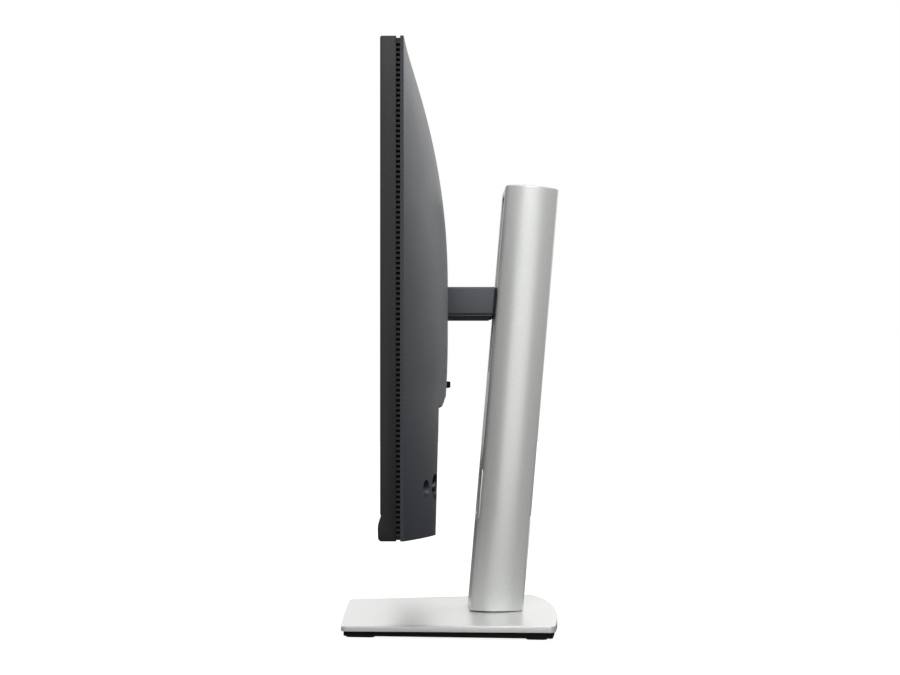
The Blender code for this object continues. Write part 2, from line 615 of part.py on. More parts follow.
def arm_pieces(arm):
    low, high = ARM_CENTRE - ARM_HALF_HEIGHT, ARM_CENTRE + ARM_HALF_HEIGHT
    face = -COLUMN_HALF_DEPTH
    seal_front, seal_back = face - 2.0, face - 0.5
    wall = 2.0
    bm = bmesh.new()
    add_leaning_prism(bm, arm_outline(ARM_HALF_WIDTH, low + 2.3, high, 1.6), ARM_FRONT, seal_front - GAP)
    upper = add_piece("arm_cover_upper", bm, arm, "54575b", 0.45)
    space = bmesh.new()
    outline = [(-ARM_HALF_WIDTH + wall, low), (ARM_HALF_WIDTH - wall, low),
               (ARM_HALF_WIDTH - wall, high - wall), (-ARM_HALF_WIDTH + wall, high - wall)]
    add_prism(space, outline, "Y", ARM_FRONT - 5, 60)
    cut(upper, space, "hollow")
    bm = bmesh.new()
    add_leaning_prism(bm, arm_outline(ARM_HALF_WIDTH, low, low + 2.0, 0.9), ARM_FRONT, seal_front - GAP)
    add_piece("arm_cover_lower", bm, arm, "303234", 0.5)

    bm = bmesh.new()
    outer = arm_outline(ARM_HALF_WIDTH - 0.6, low + 0.6, high - 0.6, 1.2)
    add_leaning_prism(bm, outer, 0, seal_back, seal_front)
    seal = add_piece("arm_end_seal", bm, arm, "17181a", 0.7)
    space = bmesh.new()
    add_box(space, (-15, 20, ARM_CENTRE - 9), (15, 60, ARM_CENTRE + 9))
    cut(seal, space, "window")

    bm = bmesh.new()
    profile = arc(TILT_AXIS_Y, ARM_CENTRE, 7.2, 90, 270, 10)
    for z in (ARM_CENTRE - 6.75, ARM_CENTRE + 6.75):
        profile.append((column_plane(z, -12.3), z))
    add_prism(bm, profile, "X", -12, 12)
    core = add_piece("arm_core", bm, arm, "8b8d90", 0.4, 0.9)
    bore = bmesh.new()
    rod(bore, "X", (0, TILT_AXIS_Y, ARM_CENTRE), SHAFT_RADIUS + GAP, -20, 20, 12)
    cut(core, bore, "bore")
    for name, start in (("friction_washer_left", -17.5), ("friction_washer_right", 12.3)):
        bm = bmesh.new()
        washer(bm, "X", (0, TILT_AXIS_Y, ARM_CENTRE), SHAFT_RADIUS + GAP, 6.5, start, start + 5.2, 14)
        add_piece(name, bm, arm, "b5a06a", 0.4, 0.9)


def lean(bm):
    """Turns geometry drawn along an upright column into the leaning column's place."""
    frame = Matrix.Translation(COLUMN_FOOT) @ Matrix.Rotation(-LEAN, 4, "X")
    bmesh.ops.transform(bm, matrix=frame, verts=bm.verts)


REST_HEIGHT = (ARM_CENTRE - COLUMN_FOOT.z) / math.cos(LEAN)  # the arm's place along the column


def carriage_pieces(arm, drum):
    bm = bmesh.new()
    add_box(bm, (-18, -12, REST_HEIGHT + CARRIAGE_BOTTOM), (18, -2, REST_HEIGHT + CARRIAGE_TOP))
    lean(bm)
    carriage = add_piece("carriage", bm, arm, "9a9c9f", 0.45, 0.8)
    for side in (-1, 1):
        ear = bmesh.new()
        drop = REST_HEIGHT - DRUM_DROP
        outline = [(-8, REST_HEIGHT + CARRIAGE_BOTTOM + 4), (-8, drop - 5), (6, drop - 5),
                   (6, drop + 5), (-3, REST_HEIGHT + CARRIAGE_BOTTOM + 4)]
        add_prism(ear, outline, "X", side * 14.6, side * 17.6)
        lean(ear)
        join(carriage, ear, "ear_left" if side < 0 else "ear_right")
    bore = bmesh.new()
    rod(bore, "X", (0, DRUM_Y, REST_HEIGHT - DRUM_DROP), 2.5, -20, 20, 10)
    lean(bore)
    cut(carriage, bore, "bore")
    for name, side in (("slide_pad_left", -1), ("slide_pad_right", 1)):
        bm = bmesh.new()
        edges = sorted((side * 18.3, side * 20.7))
        add_box(bm, (edges[0], -11, REST_HEIGHT + CARRIAGE_BOTTOM + 4),
                (edges[1], -3, REST_HEIGHT + CARRIAGE_TOP - 4))
        lean(bm)
        add_piece(name, bm, arm, "e9e6dc", 0.4)
    bm = bmesh.new()
    profile = [(0, -17.2), (2.1, -17.2), (2.1, -14.2), (DRUM_RADIUS, -14.2), (DRUM_RADIUS, 14.2),
               (2.1, 14.2), (2.1, 17.2), (0, 17.2)]
    add_turned(bm, profile, "X", (0, DRUM_Y, REST_HEIGHT - DRUM_DROP), 18)
    lean(bm)
    add_piece("spring_drum", bm, drum, "b7b9bb", 0.3, 1.0)


# ---- column ---------------------------------------------------------------------------------
def column_outline(inset):
    """Flat front and back, small corners, and sides that bow out in one arc."""
    corner_y = COLUMN_HALF_DEPTH - COLUMN_CORNER
    bow = COLUMN_HALF_WIDTH - COLUMN_FLAT - COLUMN_CORNER
    turn = 2 * math.degrees(math.atan(bow / corner_y))
    reach = corner_y / math.sin(math.radians(turn))
    side_x = COLUMN_FLAT - reach * math.cos(math.radians(turn))
    right = arc(COLUMN_FLAT, -corner_y, COLUMN_CORNER - inset, -90, -turn, 4)
    right += arc(side_x, 0, reach + COLUMN_CORNER - inset, -turn, turn, 8)[1:-1]
    right += arc(COLUMN_FLAT, corner_y, COLUMN_CORNER - inset, turn, 90, 4)
    return right + [(-x, y) for x, y in reversed(right)]


def level_ring(outline, height):
    """The outline on the leaning column where it is cut level at a world height."""
    sine, cosine = math.sin(LEAN), math.cos(LEAN)
    return [(x, y, (height - COLUMN_FOOT.z + y * sine) / cosine) for x, y in outline]


def square_ring(outline, along):
    return [(x, y, along) for x, y in outline]


def column_pieces(column):
    bm = bmesh.new()
    rings = [level_ring(column_outline(0), COLUMN_BOTTOM)]
    for t in (0, 30, 60, 90):
        angle = math.radians(t)
        rings.append(square_ring(column_outline(COLUMN_TOP_ROUND * (1 - math.cos(angle))),
                                 COLUMN_LENGTH - COLUMN_TOP_ROUND * (1 - math.sin(angle))))
    add_loft(bm, rings)
    lean(bm)
    shell = add_piece("column_shell", bm, column, "c9cac9", 0.35, 0.6)
    hollow = bmesh.new()
    add_loft(hollow, [level_ring(column_outline(COLUMN_WALL), COLUMN_BOTTOM - 5),
                      square_ring(column_outline(COLUMN_WALL), COLUMN_LENGTH - COLUMN_WALL)])
    lean(hollow)
    cut(shell, hollow, "hollow")
    slot = bmesh.new()
    add_prism(slot, rounded_rectangle(0, SLOT_MIDDLE, SLOT_HALF_WIDTH, SLOT_HALF_LENGTH, 3, 2),
              "Y", -30, -10)
    lean(slot)
    cut(shell, slot, "slot")
    for label, low, high, near, far in (("front", 66.9, 113.6, -30, -15), ("rear", 27.4, 79.6, 15, 30)):
        opening = bmesh.new()
        outline = rounded_rectangle(0, (low + high) / 2, CABLE_HALF_WIDTH, (high - low) / 2, 8, 4)
        add_prism(opening, outline, "Y", near, far)
        lean(opening)
        cut(shell, opening, f"{label}_cable_opening")

    bm = bmesh.new()
    wide, front, back, sheet = 22.5, -13.0, 14.0, 1.5
    profile = [(-wide, front), (-wide + sheet, front), (-wide + sheet, back - sheet),
               (wide - sheet, back - sheet), (wide - sheet, front), (wide, front), (wide, back),
               (-wide, back)]
    add_prism(bm, profile, "Z", 116.0, 334.0)
    lean(bm)
    add_piece("inner_channel", bm, column, "8a8c8f", 0.4, 0.9)
    bm = bmesh.new()
    strip = 12.2 - 0.6
    add_box(bm, (-11, strip, REST_HEIGHT - DRUM_DROP), (11, 12.2, 330))
    lean(bm)
    add_piece("spring_strip", bm, column, "a7b0b8", 0.25, 1.0)

    bm = bmesh.new()
    axis_y = COLUMN_FOOT.y
    low = COLUMN_BOTTOM + GAP
    add_prism(bm, rounded_rectangle(0, axis_y, 23, 15, 4, 2), "Z", low, low + 9)
    foot = add_piece("column_foot", bm, column, "8a8c8f", 0.5, 0.8)
    bore = bmesh.new()
    rod(bore, "Z", (0, axis_y, 0), SCREW_RADIUS + 0.4, low - 2, low + 7, 12)
    cut(foot, bore, "bore")
    bm = bmesh.new()
    washer(bm, "Z", (0, axis_y, 0), SCREW_RADIUS + 0.4, HUB_RADIUS, 6.2, COLUMN_BOTTOM, 24)
    add_piece("swivel_hub", bm, column, "8a8c8f", 0.4, 0.8)
    bm = bmesh.new()
    washer(bm, "Z", (0, axis_y, 0), HUB_RADIUS + 0.4, 25, 7.3, 8.6, 24)
    add_piece("retaining_plate", bm, column, "a2a4a6", 0.4, 0.9)


# ---- base -----------------------------------------------------------------------------------
def base_rear_edge(x, inset):
    return BASE_REAR - inset - BASE_REAR_RADIUS + math.sqrt(BASE_REAR_RADIUS**2 - x * x)


def rounded_corner(before, corner, after, radius, steps=4):
    """A corner of a polygon replaced by an arc of the given radius."""
    here, one, two = Vector(corner), Vector(before), Vector(after)
    first, second = (one - here).normalized(), (two - here).normalized()
    half = math.acos(max(-1, min(1, first.dot(second)))) / 2
    centre = here + (first + second).normalized() * (radius / math.sin(half))
    start = here + first * (radius / math.tan(half)) - centre
    end = here + second * (radius / math.tan(half)) - centre
    points = []
    for i in range(steps + 1):
        mix = start.slerp(end, i / steps)
        points.append(tuple(centre + mix.normalized() * radius))
    return points


def base_outline(inset):
    """Straight front and flaring sides with small corners, and a rear edge in one long arc."""
    front_half, rear_half = BASE_FRONT_HALF - inset, BASE_REAR_HALF - inset
    front = BASE_FRONT + inset
    rear = [(rear_half * math.cos(math.pi * i / 16), 0) for i in range(17)]
    rear = [(x, base_rear_edge(x, inset)) for x, _ in rear]
    corners = [(-front_half, front), (front_half, front)] + rear
    points = []
    count = len(corners)
    sharp = (0, 1, 2, count - 1)
    radius = max(1.0, BASE_CORNER - inset)
    for i, corner in enumerate(corners):
        if i in sharp:
            points += rounded_corner(corners[i - 1], corner, corners[(i + 1) % count], radius)
        elif i not in (3, count - 2):
            points.append(corner)
    return points


def base_share(y):
    return (y - BASE_FRONT) / (BASE_REAR - BASE_FRONT)


def base_top(x, y):
    """Height of the silver plate: a slight wedge, crowned across its width."""
    wedge = BASE_TOP_FRONT + (BASE_TOP_REAR - BASE_TOP_FRONT) * base_share(y)
    return wedge + BASE_CROWN * max(0.0, 1 - (x / 98.0) ** 2)


def base_edge(x, y):
    """Height of the silver plate's lower edge."""
    return BASE_EDGE_FRONT + (BASE_EDGE_REAR - BASE_EDGE_FRONT) * base_share(y)


def add_plate(bm, outline, low, high):
    """A prism whose lower and upper faces follow the functions low(x, y) and high(x, y)."""
    add_prism(bm, outline, "Z", 0.0, 1.0)
    for i in range(-4, 5):
        bmesh.ops.bisect_plane(bm, geom=bm.verts[:] + bm.edges[:] + bm.faces[:], dist=0.0001,
                               plane_co=(i * 20.0, 0, 0), plane_no=(1, 0, 0))
    for vert in bm.verts:
        surface = high if vert.co.z > 0.5 else low
        vert.co.z = surface(vert.co.x, vert.co.y)


def base_pieces(base):
    axis_y = COLUMN_FOOT.y
    bm = bmesh.new()
    add_plate(bm, base_outline(0), base_edge, base_top)
    cover = add_piece("base_cover", bm, base, "d9dad9", 0.35, 0.6)
    hollow = bmesh.new()
    add_plate(hollow, base_outline(2.6), lambda x, y: 1.0, lambda x, y: base_top(x, y) - BASE_WALL)
    cut(cover, hollow, "hollow")
    hole = bmesh.new()
    rod(hole, "Z", (0, axis_y, 0), HUB_RADIUS + 0.5, 5, 20, 24)
    cut(cover, hole, "hub_hole")

    bm = bmesh.new()
    add_plate(bm, base_outline(2.0), lambda x, y: UNDERSIDE_BOTTOM, lambda x, y: base_edge(x, y) - GAP)
    under = add_piece("base_underside", bm, base, "151515", 0.6)
    tray = bmesh.new()
    add_prism(tray, base_outline(5.0), "Z", UNDERSIDE_BOTTOM + 1.6, 20)
    cut(under, tray, "tray")
    hole = bmesh.new()
    rod(hole, "Z", (0, axis_y, 0), 27, 0, 4, 24)
    cut(under, hole, "screw_hole")

    bm = bmesh.new()
    add_prism(bm, base_outline(6.0), "Z", UNDERSIDE_BOTTOM + 1.9, 6.1)
    weight = add_piece("base_weight", bm, base, "6c6e70", 0.5, 0.9)
    hole = bmesh.new()
    rod(hole, "Z", (0, axis_y, 0), 29, 2, 8, 24)
    cut(weight, hole, "hub_hole")

    bm = bmesh.new()
    washer(bm, "Z", (0, axis_y, 0), HUB_RADIUS + 0.4, 27, 8.9, 9.6, 24)
    add_piece("bearing_washer", bm, base, "e9e6dc", 0.4)

    feet = (("front", -75.5, 7.0, 54.0, 24.0), ("rear", 62.25, 8.25, 58.0, 24.0))
    for row, middle_y, half_depth, middle_x, half_width in feet:
        for label, side in (("left", -1), ("right", 1)):
            bm = bmesh.new()
            rings = []
            for height, shrink in ((0.0, 1.0), (UNDERSIDE_BOTTOM - GAP, 0.0)):
                outline = rounded_rectangle(side * middle_x, middle_y, half_width - shrink,
                                            half_depth - shrink, 3 - shrink, 3)
                rings.append([(x, y, height) for x, y in outline])
            add_loft(bm, rings)
            add_piece(f"foot_{row}_{label}", bm, base, "101010", 0.8)


def thumbscrew_pieces(screw, ring):
    centre = (0, COLUMN_FOOT.y, 0)
    bm = bmesh.new()
    profile = [(0, 2.2), (11, 2.2), (11, 5.4), (SCREW_RADIUS, 5.4), (SCREW_RADIUS, 19.5), (0, 19.5)]
    add_turned(bm, profile, "Z", centre, 16)
    head = add_piece("thumbscrew", bm, screw, "b9bbbd", 0.3, 1.0)
    cross = bmesh.new()
    rod(cross, "X", (0, COLUMN_FOOT.y, RING_HEIGHT), 1.25, -14, 14, 8)
    cut(head, cross, "ring_bore")
    bm = bmesh.new()
    bow, wire, sides = 13.2, 0.8, 6
    path = [(-9.0, 0.0)] + arc(0, 0, bow, 180, 0, 12) + [(9.0, 0.0)]
    rings = []
    for i, (x, y) in enumerate(path):
        before, after = path[max(i - 1, 0)], path[min(i + 1, len(path) - 1)]
        along = Vector((after[0] - before[0], after[1] - before[1], 0)).normalized()
        side = along.cross(Vector((0, 0, 1)))
        middle = Vector((x, y + COLUMN_FOOT.y, RING_HEIGHT))
        turns = [2 * math.pi * k / sides for k in range(sides)]
        rings.append([middle + (side * math.cos(t) + Vector((0, 0, 1)) * math.sin(t)) * wire
                      for t in turns])
    add_loft(bm, rings)
    add_piece("thumbscrew_ring", bm, ring, "c4c6c8", 0.3, 1.0)


# ---- whole monitor --------------------------------------------------------------------------
def build():
    for thing in list(bpy.data.objects):
        bpy.data.objects.remove(thing)
    base = body_axis("body_base", (0, 0, 0))
    column = body_axis("body_column", (0, COLUMN_FOOT.y, COLUMN_BOTTOM), base)
    arm = body_axis("body_arm", (0, column_axis_y(ARM_CENTRE), ARM_CENTRE), column)
    drum_along = REST_HEIGHT - DRUM_DROP
    drum_place = (Matrix.Translation(COLUMN_FOOT) @ Matrix.Rotation(-LEAN, 4, "X")
                  @ Vector((0, DRUM_Y, drum_along)))
    drum = body_axis("body_spring_drum", tuple(drum_place), arm)
    tilt = body_axis("body_tilt", (0, TILT_AXIS_Y, ARM_CENTRE), arm)
    head = body_axis("body_head", (0, -16, ARM_CENTRE), tilt)
    release = body_axis("body_release_button", (0, -6, 194.05), head)
    latch = body_axis("body_release_latch", (0, -18.8, 208), head)
    power = body_axis("body_power_button", (POWER_X, -29, POWER_Z), head)
    stick_side = body_axis("body_stick_side", (STICK_X, STICK_PIVOT, STICK_Z), head)
    stick_up = body_axis("body_stick_up", (STICK_X, STICK_PIVOT, STICK_Z), stick_side)
    stick_press = body_axis("body_stick_press", (STICK_X, -19, STICK_Z), stick_up)
    screw = body_axis("body_thumbscrew", (0, COLUMN_FOOT.y, 5), column)
    ring = body_axis("body_thumbscrew_ring", (0, COLUMN_FOOT.y, RING_HEIGHT), screw)

    base_pieces(base)
    column_pieces(column)
    thumbscrew_pieces(screw, ring)
    carriage_pieces(arm, drum)
    arm_pieces(arm)
    tilt_unit(tilt)
    front_bezel(head)
    vent_strip(head)
    rear_cover(head)
    panel_stack(head)
    head_internals(head)
    connectors(head)
    quick_release(head, release, latch)
    controls(stick_side, stick_up, stick_press, power)


build()
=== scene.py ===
# %% [markdown]
# # A height-adjustable monitor, one piece at a time
# A thin-bezel monitor stands on a leaning silver column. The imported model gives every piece's size
# and place and which pieces move together. This lesson adds the look: finer shapes where the
# outline is curved, the small repeated parts, and a finish for every surface.

# %% Load the frame
import math

import bmesh
import bpy
from mathutils import Matrix, Vector


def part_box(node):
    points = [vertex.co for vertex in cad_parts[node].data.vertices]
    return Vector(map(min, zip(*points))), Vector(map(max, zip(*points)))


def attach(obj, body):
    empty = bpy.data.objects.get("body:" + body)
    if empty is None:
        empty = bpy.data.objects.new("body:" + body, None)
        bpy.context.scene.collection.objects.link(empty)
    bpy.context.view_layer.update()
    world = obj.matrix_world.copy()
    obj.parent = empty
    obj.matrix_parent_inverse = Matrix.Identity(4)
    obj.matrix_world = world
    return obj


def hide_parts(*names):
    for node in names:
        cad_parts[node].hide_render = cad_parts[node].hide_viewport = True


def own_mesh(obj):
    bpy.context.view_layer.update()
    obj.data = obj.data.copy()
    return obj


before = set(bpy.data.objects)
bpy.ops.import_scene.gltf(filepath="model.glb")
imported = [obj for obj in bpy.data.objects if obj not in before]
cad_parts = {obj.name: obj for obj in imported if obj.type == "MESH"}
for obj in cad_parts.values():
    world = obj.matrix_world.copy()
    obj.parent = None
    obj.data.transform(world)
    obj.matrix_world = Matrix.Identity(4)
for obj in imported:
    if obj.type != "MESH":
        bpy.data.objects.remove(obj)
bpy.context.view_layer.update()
MM = 0.001

# %% [markdown]
# A finish is easier to read as a hex colour, the way a paint chart gives it. Blender's shader
# works in linear light, so one function turns the hex value into that.

# %% Colours
def linear(hex_colour):
    """sRGB hex to a linear colour with full alpha."""
    channels = []
    for start in (0, 2, 4):
        value = int(hex_colour[start : start + 2], 16) / 255
        channels.append(value / 12.92 if value <= 0.04045 else ((value + 0.055) / 1.055) ** 2.4)
    return (*channels, 1.0)


print("mid grey in linear light:", round(linear("808080")[0], 3))

# %% [markdown]
# Every node tree below, for materials and for geometry, is made of nodes with a few settings and
# some links. One small function does all three jobs, so the cells stay short.

# %% A helper that adds a node
def add_node(tree, kind, settings=None, inputs=None):
    """Adds a node, sets its properties, and sets or links its inputs by name or number."""
    node = tree.nodes.new(kind)
    for name, value in (settings or {}).items():
        setattr(node, name, value)
    for key, value in (inputs or {}).items():
        if isinstance(value, bpy.types.NodeSocket):
            tree.links.new(value, node.inputs[key])
        else:
            node.inputs[key].default_value = value
    return node


def new_finish(name, hex_colour, roughness, metallic=0.0, ior=1.5):
    """A material with a Principled shader, before its surface detail is added."""
    finish = bpy.data.materials.new(name)
    finish.use_nodes = True
    shader = finish.node_tree.nodes["Principled BSDF"]
    shader.inputs["Base Color"].default_value = linear(hex_colour)
    shader.inputs["Roughness"].default_value = roughness
    shader.inputs["Metallic"].default_value = metallic
    if metallic < 0.5:
        shader.inputs["IOR"].default_value = ior
    return finish


print("node helper ready")

# %% [markdown]
# Moulded, cast, painted and rubber surfaces are all the same idea at different sizes: a fine
# random grain that lifts the surface a little, and broad soft patches where the colour and the
# gloss drift. Stretching the grain along one axis turns it into brushing. One function lays this
# over a finish, with its sizes given in millimetres.

# %% Grain and drift
def add_grain(finish, hex_low, hex_high, grain_mm, lift_mm, gloss_drift, stretch=(1, 1, 1),
              patch_mm=60.0):
    """Fine bump, and slow changes of colour and roughness, on Object coordinates."""
    tree = finish.node_tree
    shader = tree.nodes["Principled BSDF"]
    place = add_node(tree, "ShaderNodeTexCoord").outputs["Object"]
    drawn = add_node(tree, "ShaderNodeMapping", inputs={"Vector": place, "Scale": stretch})
    grain = add_node(tree, "ShaderNodeTexNoise", inputs={
        "Vector": drawn.outputs[0], "Scale": 1 / (grain_mm * MM), "Detail": 3.0})
    patch = add_node(tree, "ShaderNodeTexNoise", inputs={
        "Vector": place, "Scale": 1 / (patch_mm * MM), "Detail": 2.0})
    blend = add_node(tree, "ShaderNodeMath", {"operation": "MULTIPLY_ADD"}, {
        0: grain.outputs[0], 1: 0.5, 2: 0.0})
    total = add_node(tree, "ShaderNodeMath", {"operation": "MULTIPLY_ADD"}, {
        0: patch.outputs[0], 1: 0.5, 2: blend.outputs[0]})
    colour = add_node(tree, "ShaderNodeMix", {"data_type": "RGBA"}, {
        0: total.outputs[0], 6: linear(hex_low), 7: linear(hex_high)})
    tree.links.new(colour.outputs[2], shader.inputs["Base Color"])
    middle = shader.inputs["Roughness"].default_value
    rough = add_node(tree, "ShaderNodeMapRange", inputs={
        0: total.outputs[0], 1: 0.3, 2: 0.7, 3: middle - gloss_drift, 4: middle + gloss_drift})
    tree.links.new(rough.outputs[0], shader.inputs["Roughness"])
    bump = add_node(tree, "ShaderNodeBump", inputs={
        "Strength": 0.6, "Distance": lift_mm * MM, "Height": grain.outputs[0]})
    tree.links.new(bump.outputs[0], shader.inputs["Normal"])
    return finish


print("grain helper ready")

# %% [markdown]
# ## The head's plastics
# The bezel, cover and arm are moulded ABS. The moulds are spark-eroded, which leaves tiny pits
# about 0.2 mm across; they are drawn at 0.7 mm so that they show. The pits scatter light, so the
# plastic looks satin, with soft highlights and never a mirror.

# %% Moulded ABS
bezel_abs = add_grain(new_finish("spark_eroded_abs_bezel", "1e1f1f", 0.40, ior=1.53),
                      "1e1f1f", "242525", 0.7, 0.05, 0.05)
cover_abs = add_grain(new_finish("spark_eroded_abs_cover", "2d3138", 0.38, ior=1.53),
                      "292d34", "31353d", 0.7, 0.06, 0.05)
arm_abs = add_grain(new_finish("spark_eroded_abs_arm", "4c5057", 0.42, ior=1.53),
                    "484c52", "50555c", 0.7, 0.05, 0.05)
under_abs = add_grain(new_finish("spark_eroded_abs_underside", "5a5e63", 0.45, ior=1.53),
                      "565a5f", "5e6267", 0.7, 0.05, 0.05)
black_abs = add_grain(new_finish("moulded_abs_black", "0c0c0d", 0.6, ior=1.53),
                      "101011", "19191a", 0.6, 0.04, 0.06)
button_abs = add_grain(new_finish("polished_abs_buttons", "232427", 0.32, ior=1.53),
                       "1e1f22", "292a2e", 0.5, 0.015, 0.04)
# the deepest textures trap light, so their mirror share is set below the usual 0.5
for finish, level in ((bezel_abs, 0.22), (cover_abs, 0.3), (black_abs, 0.12)):
    finish.node_tree.nodes["Principled BSDF"].inputs["Specular IOR Level"].default_value = level
print("moulded plastics:", 6)

# %% [markdown]
# ## Silver paint
# The column and the base plate are one silver: a pale satin paint with fine metal flakes under
# a clear layer. The flakes are 0.05 mm; they are drawn at 0.5 mm, as a faint sparkle of lighter
# and darker cells. Sprayed paint also has a slow ripple called orange peel.

# %% Silver paint with flakes
def silver_paint():
    finish = new_finish("silver_flake_paint", "e0e1df", 0.32, metallic=0.3)
    tree = finish.node_tree
    shader = tree.nodes["Principled BSDF"]
    place = add_node(tree, "ShaderNodeTexCoord").outputs["Object"]
    flakes = add_node(tree, "ShaderNodeTexVoronoi", inputs={
        "Vector": place, "Scale": 1 / (0.5 * MM)})
    grey = add_node(tree, "ShaderNodeSeparateColor", inputs={0: flakes.outputs["Color"]})
    colour = add_node(tree, "ShaderNodeMix", {"data_type": "RGBA"}, {
        0: grey.outputs[0], 6: linear("dcdedb"), 7: linear("e6e7e4")})
    tree.links.new(colour.outputs[2], shader.inputs["Base Color"])
    rough = add_node(tree, "ShaderNodeMapRange", inputs={0: grey.outputs[1], 3: 0.29, 4: 0.39})
    tree.links.new(rough.outputs[0], shader.inputs["Roughness"])
    peel = add_node(tree, "ShaderNodeTexNoise", inputs={
        "Vector": place, "Scale": 1 / (2.5 * MM), "Detail": 1.0})
    bump = add_node(tree, "ShaderNodeBump", inputs={
        "Strength": 0.25, "Distance": 0.02 * MM, "Height": peel.outputs[0]})
    tree.links.new(bump.outputs[0], shader.inputs["Normal"])
    shader.inputs["Coat Weight"].default_value = 0.25
    shader.inputs["Coat Roughness"].default_value = 0.2
    return finish


silver = silver_paint()
print("silver paint ready")

# %% [markdown]
# ## Metals
# Sheet steel is rolled, so its fine lines run one way: the grain is stretched along X. Zinc-dipped
# sheet shows spangles, crystals a few millimetres wide. Die-cast alloy is duller and mottled.
# Bright zinc plating on screws and shafts is smooth, with only a faint grain.

# %% Metal finishes
rolled_steel = add_grain(new_finish("rolled_steel", "a0a2a4", 0.34, 1.0),
                         "989a9c", "a8aaac", 0.4, 0.01, 0.06, stretch=(0.04, 1, 1))
cast_alloy = add_grain(new_finish("die_cast_alloy", "8b8d90", 0.5, 1.0),
                       "828487", "94969a", 0.9, 0.03, 0.08)
plated_steel = add_grain(new_finish("bright_zinc_plate", "c6c9cc", 0.24, 1.0),
                         "bec1c4", "ced1d4", 0.3, 0.005, 0.04)
spring_steel = add_grain(new_finish("blued_spring_steel", "9fa6ad", 0.26, 1.0),
                         "959ca4", "a9b0b6", 0.3, 0.006, 0.05, stretch=(1, 1, 0.05))
bronze = add_grain(new_finish("sintered_bronze", "b59a62", 0.42, 1.0),
                   "a98e58", "c1a66e", 0.25, 0.01, 0.08)
cast_iron = add_grain(new_finish("cast_iron", "6c6e70", 0.62, 0.9),
                      "606264", "77797b", 1.2, 0.12, 0.08)
gold_contact = add_grain(new_finish("gold_flash_contacts", "d8b45a", 0.25, 1.0),
                         "d0ab52", "dfbc63", 0.2, 0.004, 0.05)


def spangled_zinc():
    finish = new_finish("hot_dip_zinc_sheet", "a7a9ab", 0.36, 1.0)
    tree = finish.node_tree
    shader = tree.nodes["Principled BSDF"]
    place = add_node(tree, "ShaderNodeTexCoord").outputs["Object"]
    spangle = add_node(tree, "ShaderNodeTexVoronoi", inputs={
        "Vector": place, "Scale": 1 / (6.25 * MM)})
    parts = add_node(tree, "ShaderNodeSeparateColor", inputs={0: spangle.outputs["Color"]})
    colour = add_node(tree, "ShaderNodeMix", {"data_type": "RGBA"}, {
        0: parts.outputs[0], 6: linear("9a9c9f"), 7: linear("b4b6b8")})
    tree.links.new(colour.outputs[2], shader.inputs["Base Color"])
    rough = add_node(tree, "ShaderNodeMapRange", inputs={0: parts.outputs[1], 3: 0.28, 4: 0.46})
    tree.links.new(rough.outputs[0], shader.inputs["Roughness"])
    return finish


zinc_sheet = spangled_zinc()
print("metals ready:", rolled_steel.name, zinc_sheet.name)

# %% [markdown]
# ## Rubber, acetal, films and boards
# Feet are dull black rubber. Slide pads are white acetal, a slippery plastic. The light guide is
# clear acrylic with printed dots 1 mm apart that let the light out. Circuit boards are green
# lacquer over copper tracks, drawn as a fine brick pattern of slightly lighter lines.

# %% Soft and clear finishes
rubber = add_grain(new_finish("black_rubber", "131313", 0.82, ior=1.52),
                   "0f0f0f", "191919", 0.5, 0.05, 0.06)
acetal = add_grain(new_finish("white_acetal", "e6e3d9", 0.38, ior=1.48),
                   "dfdcd2", "ece9e0", 0.6, 0.01, 0.04)
film = add_grain(new_finish("frosted_polyester_film", "e8e8e4", 0.75, ior=1.58),
                 "e2e2de", "eeeeea", 0.4, 0.005, 0.05)


def dotted_acrylic():
    finish = new_finish("dotted_acrylic", "dfe8e6", 0.08, ior=1.49)
    tree = finish.node_tree
    shader = tree.nodes["Principled BSDF"]
    shader.inputs["Transmission Weight"].default_value = 0.85
    place = add_node(tree, "ShaderNodeTexCoord").outputs["Object"]
    dots = add_node(tree, "ShaderNodeTexVoronoi", {"feature": "F1"}, {
        "Vector": place, "Scale": 1 / MM, "Randomness": 0.0})
    inside = add_node(tree, "ShaderNodeMath", {"operation": "LESS_THAN"}, {
        0: dots.outputs["Distance"], 1: 0.25})
    rough = add_node(tree, "ShaderNodeMapRange", inputs={0: inside.outputs[0], 3: 0.08, 4: 0.7})
    tree.links.new(rough.outputs[0], shader.inputs["Roughness"])
    return finish


def board_lacquer():
    finish = new_finish("green_board_lacquer", "1c4a33", 0.35, ior=1.55)
    tree = finish.node_tree
    shader = tree.nodes["Principled BSDF"]
    place = add_node(tree, "ShaderNodeTexCoord").outputs["Object"]
    turned = add_node(tree, "ShaderNodeMapping", inputs={
        "Vector": place, "Rotation": (math.radians(90), 0, 0)})
    tracks = add_node(tree, "ShaderNodeTexBrick", inputs={
        "Vector": turned.outputs[0], "Scale": 1.0, "Brick Width": 0.0065, "Row Height": 0.0016,
        "Mortar Size": 0.0003, "Color1": linear("1c4a33"), "Color2": linear("173f2c"),
        "Mortar": linear("3a7a55")})
    tree.links.new(tracks.outputs[0], shader.inputs["Base Color"])
    bump = add_node(tree, "ShaderNodeBump", inputs={
        "Strength": 0.3, "Distance": 0.03 * MM, "Height": tracks.outputs[1]})
    tree.links.new(bump.outputs[0], shader.inputs["Normal"])
    return finish


acrylic = dotted_acrylic()
board = board_lacquer()
print("soft and clear finishes ready")

# %% [markdown]
# ## The screen
# A switched-off panel is dark glass under an anti-glare film, so it is nearly black with a
# blurred, slightly blue reflection. The picture area starts a few millimetres inside the glass: the
# border outside it is printed black and looks a touch darker. The LED bar carries a chip
# every 6 mm, yellow with phosphor on a white strip.

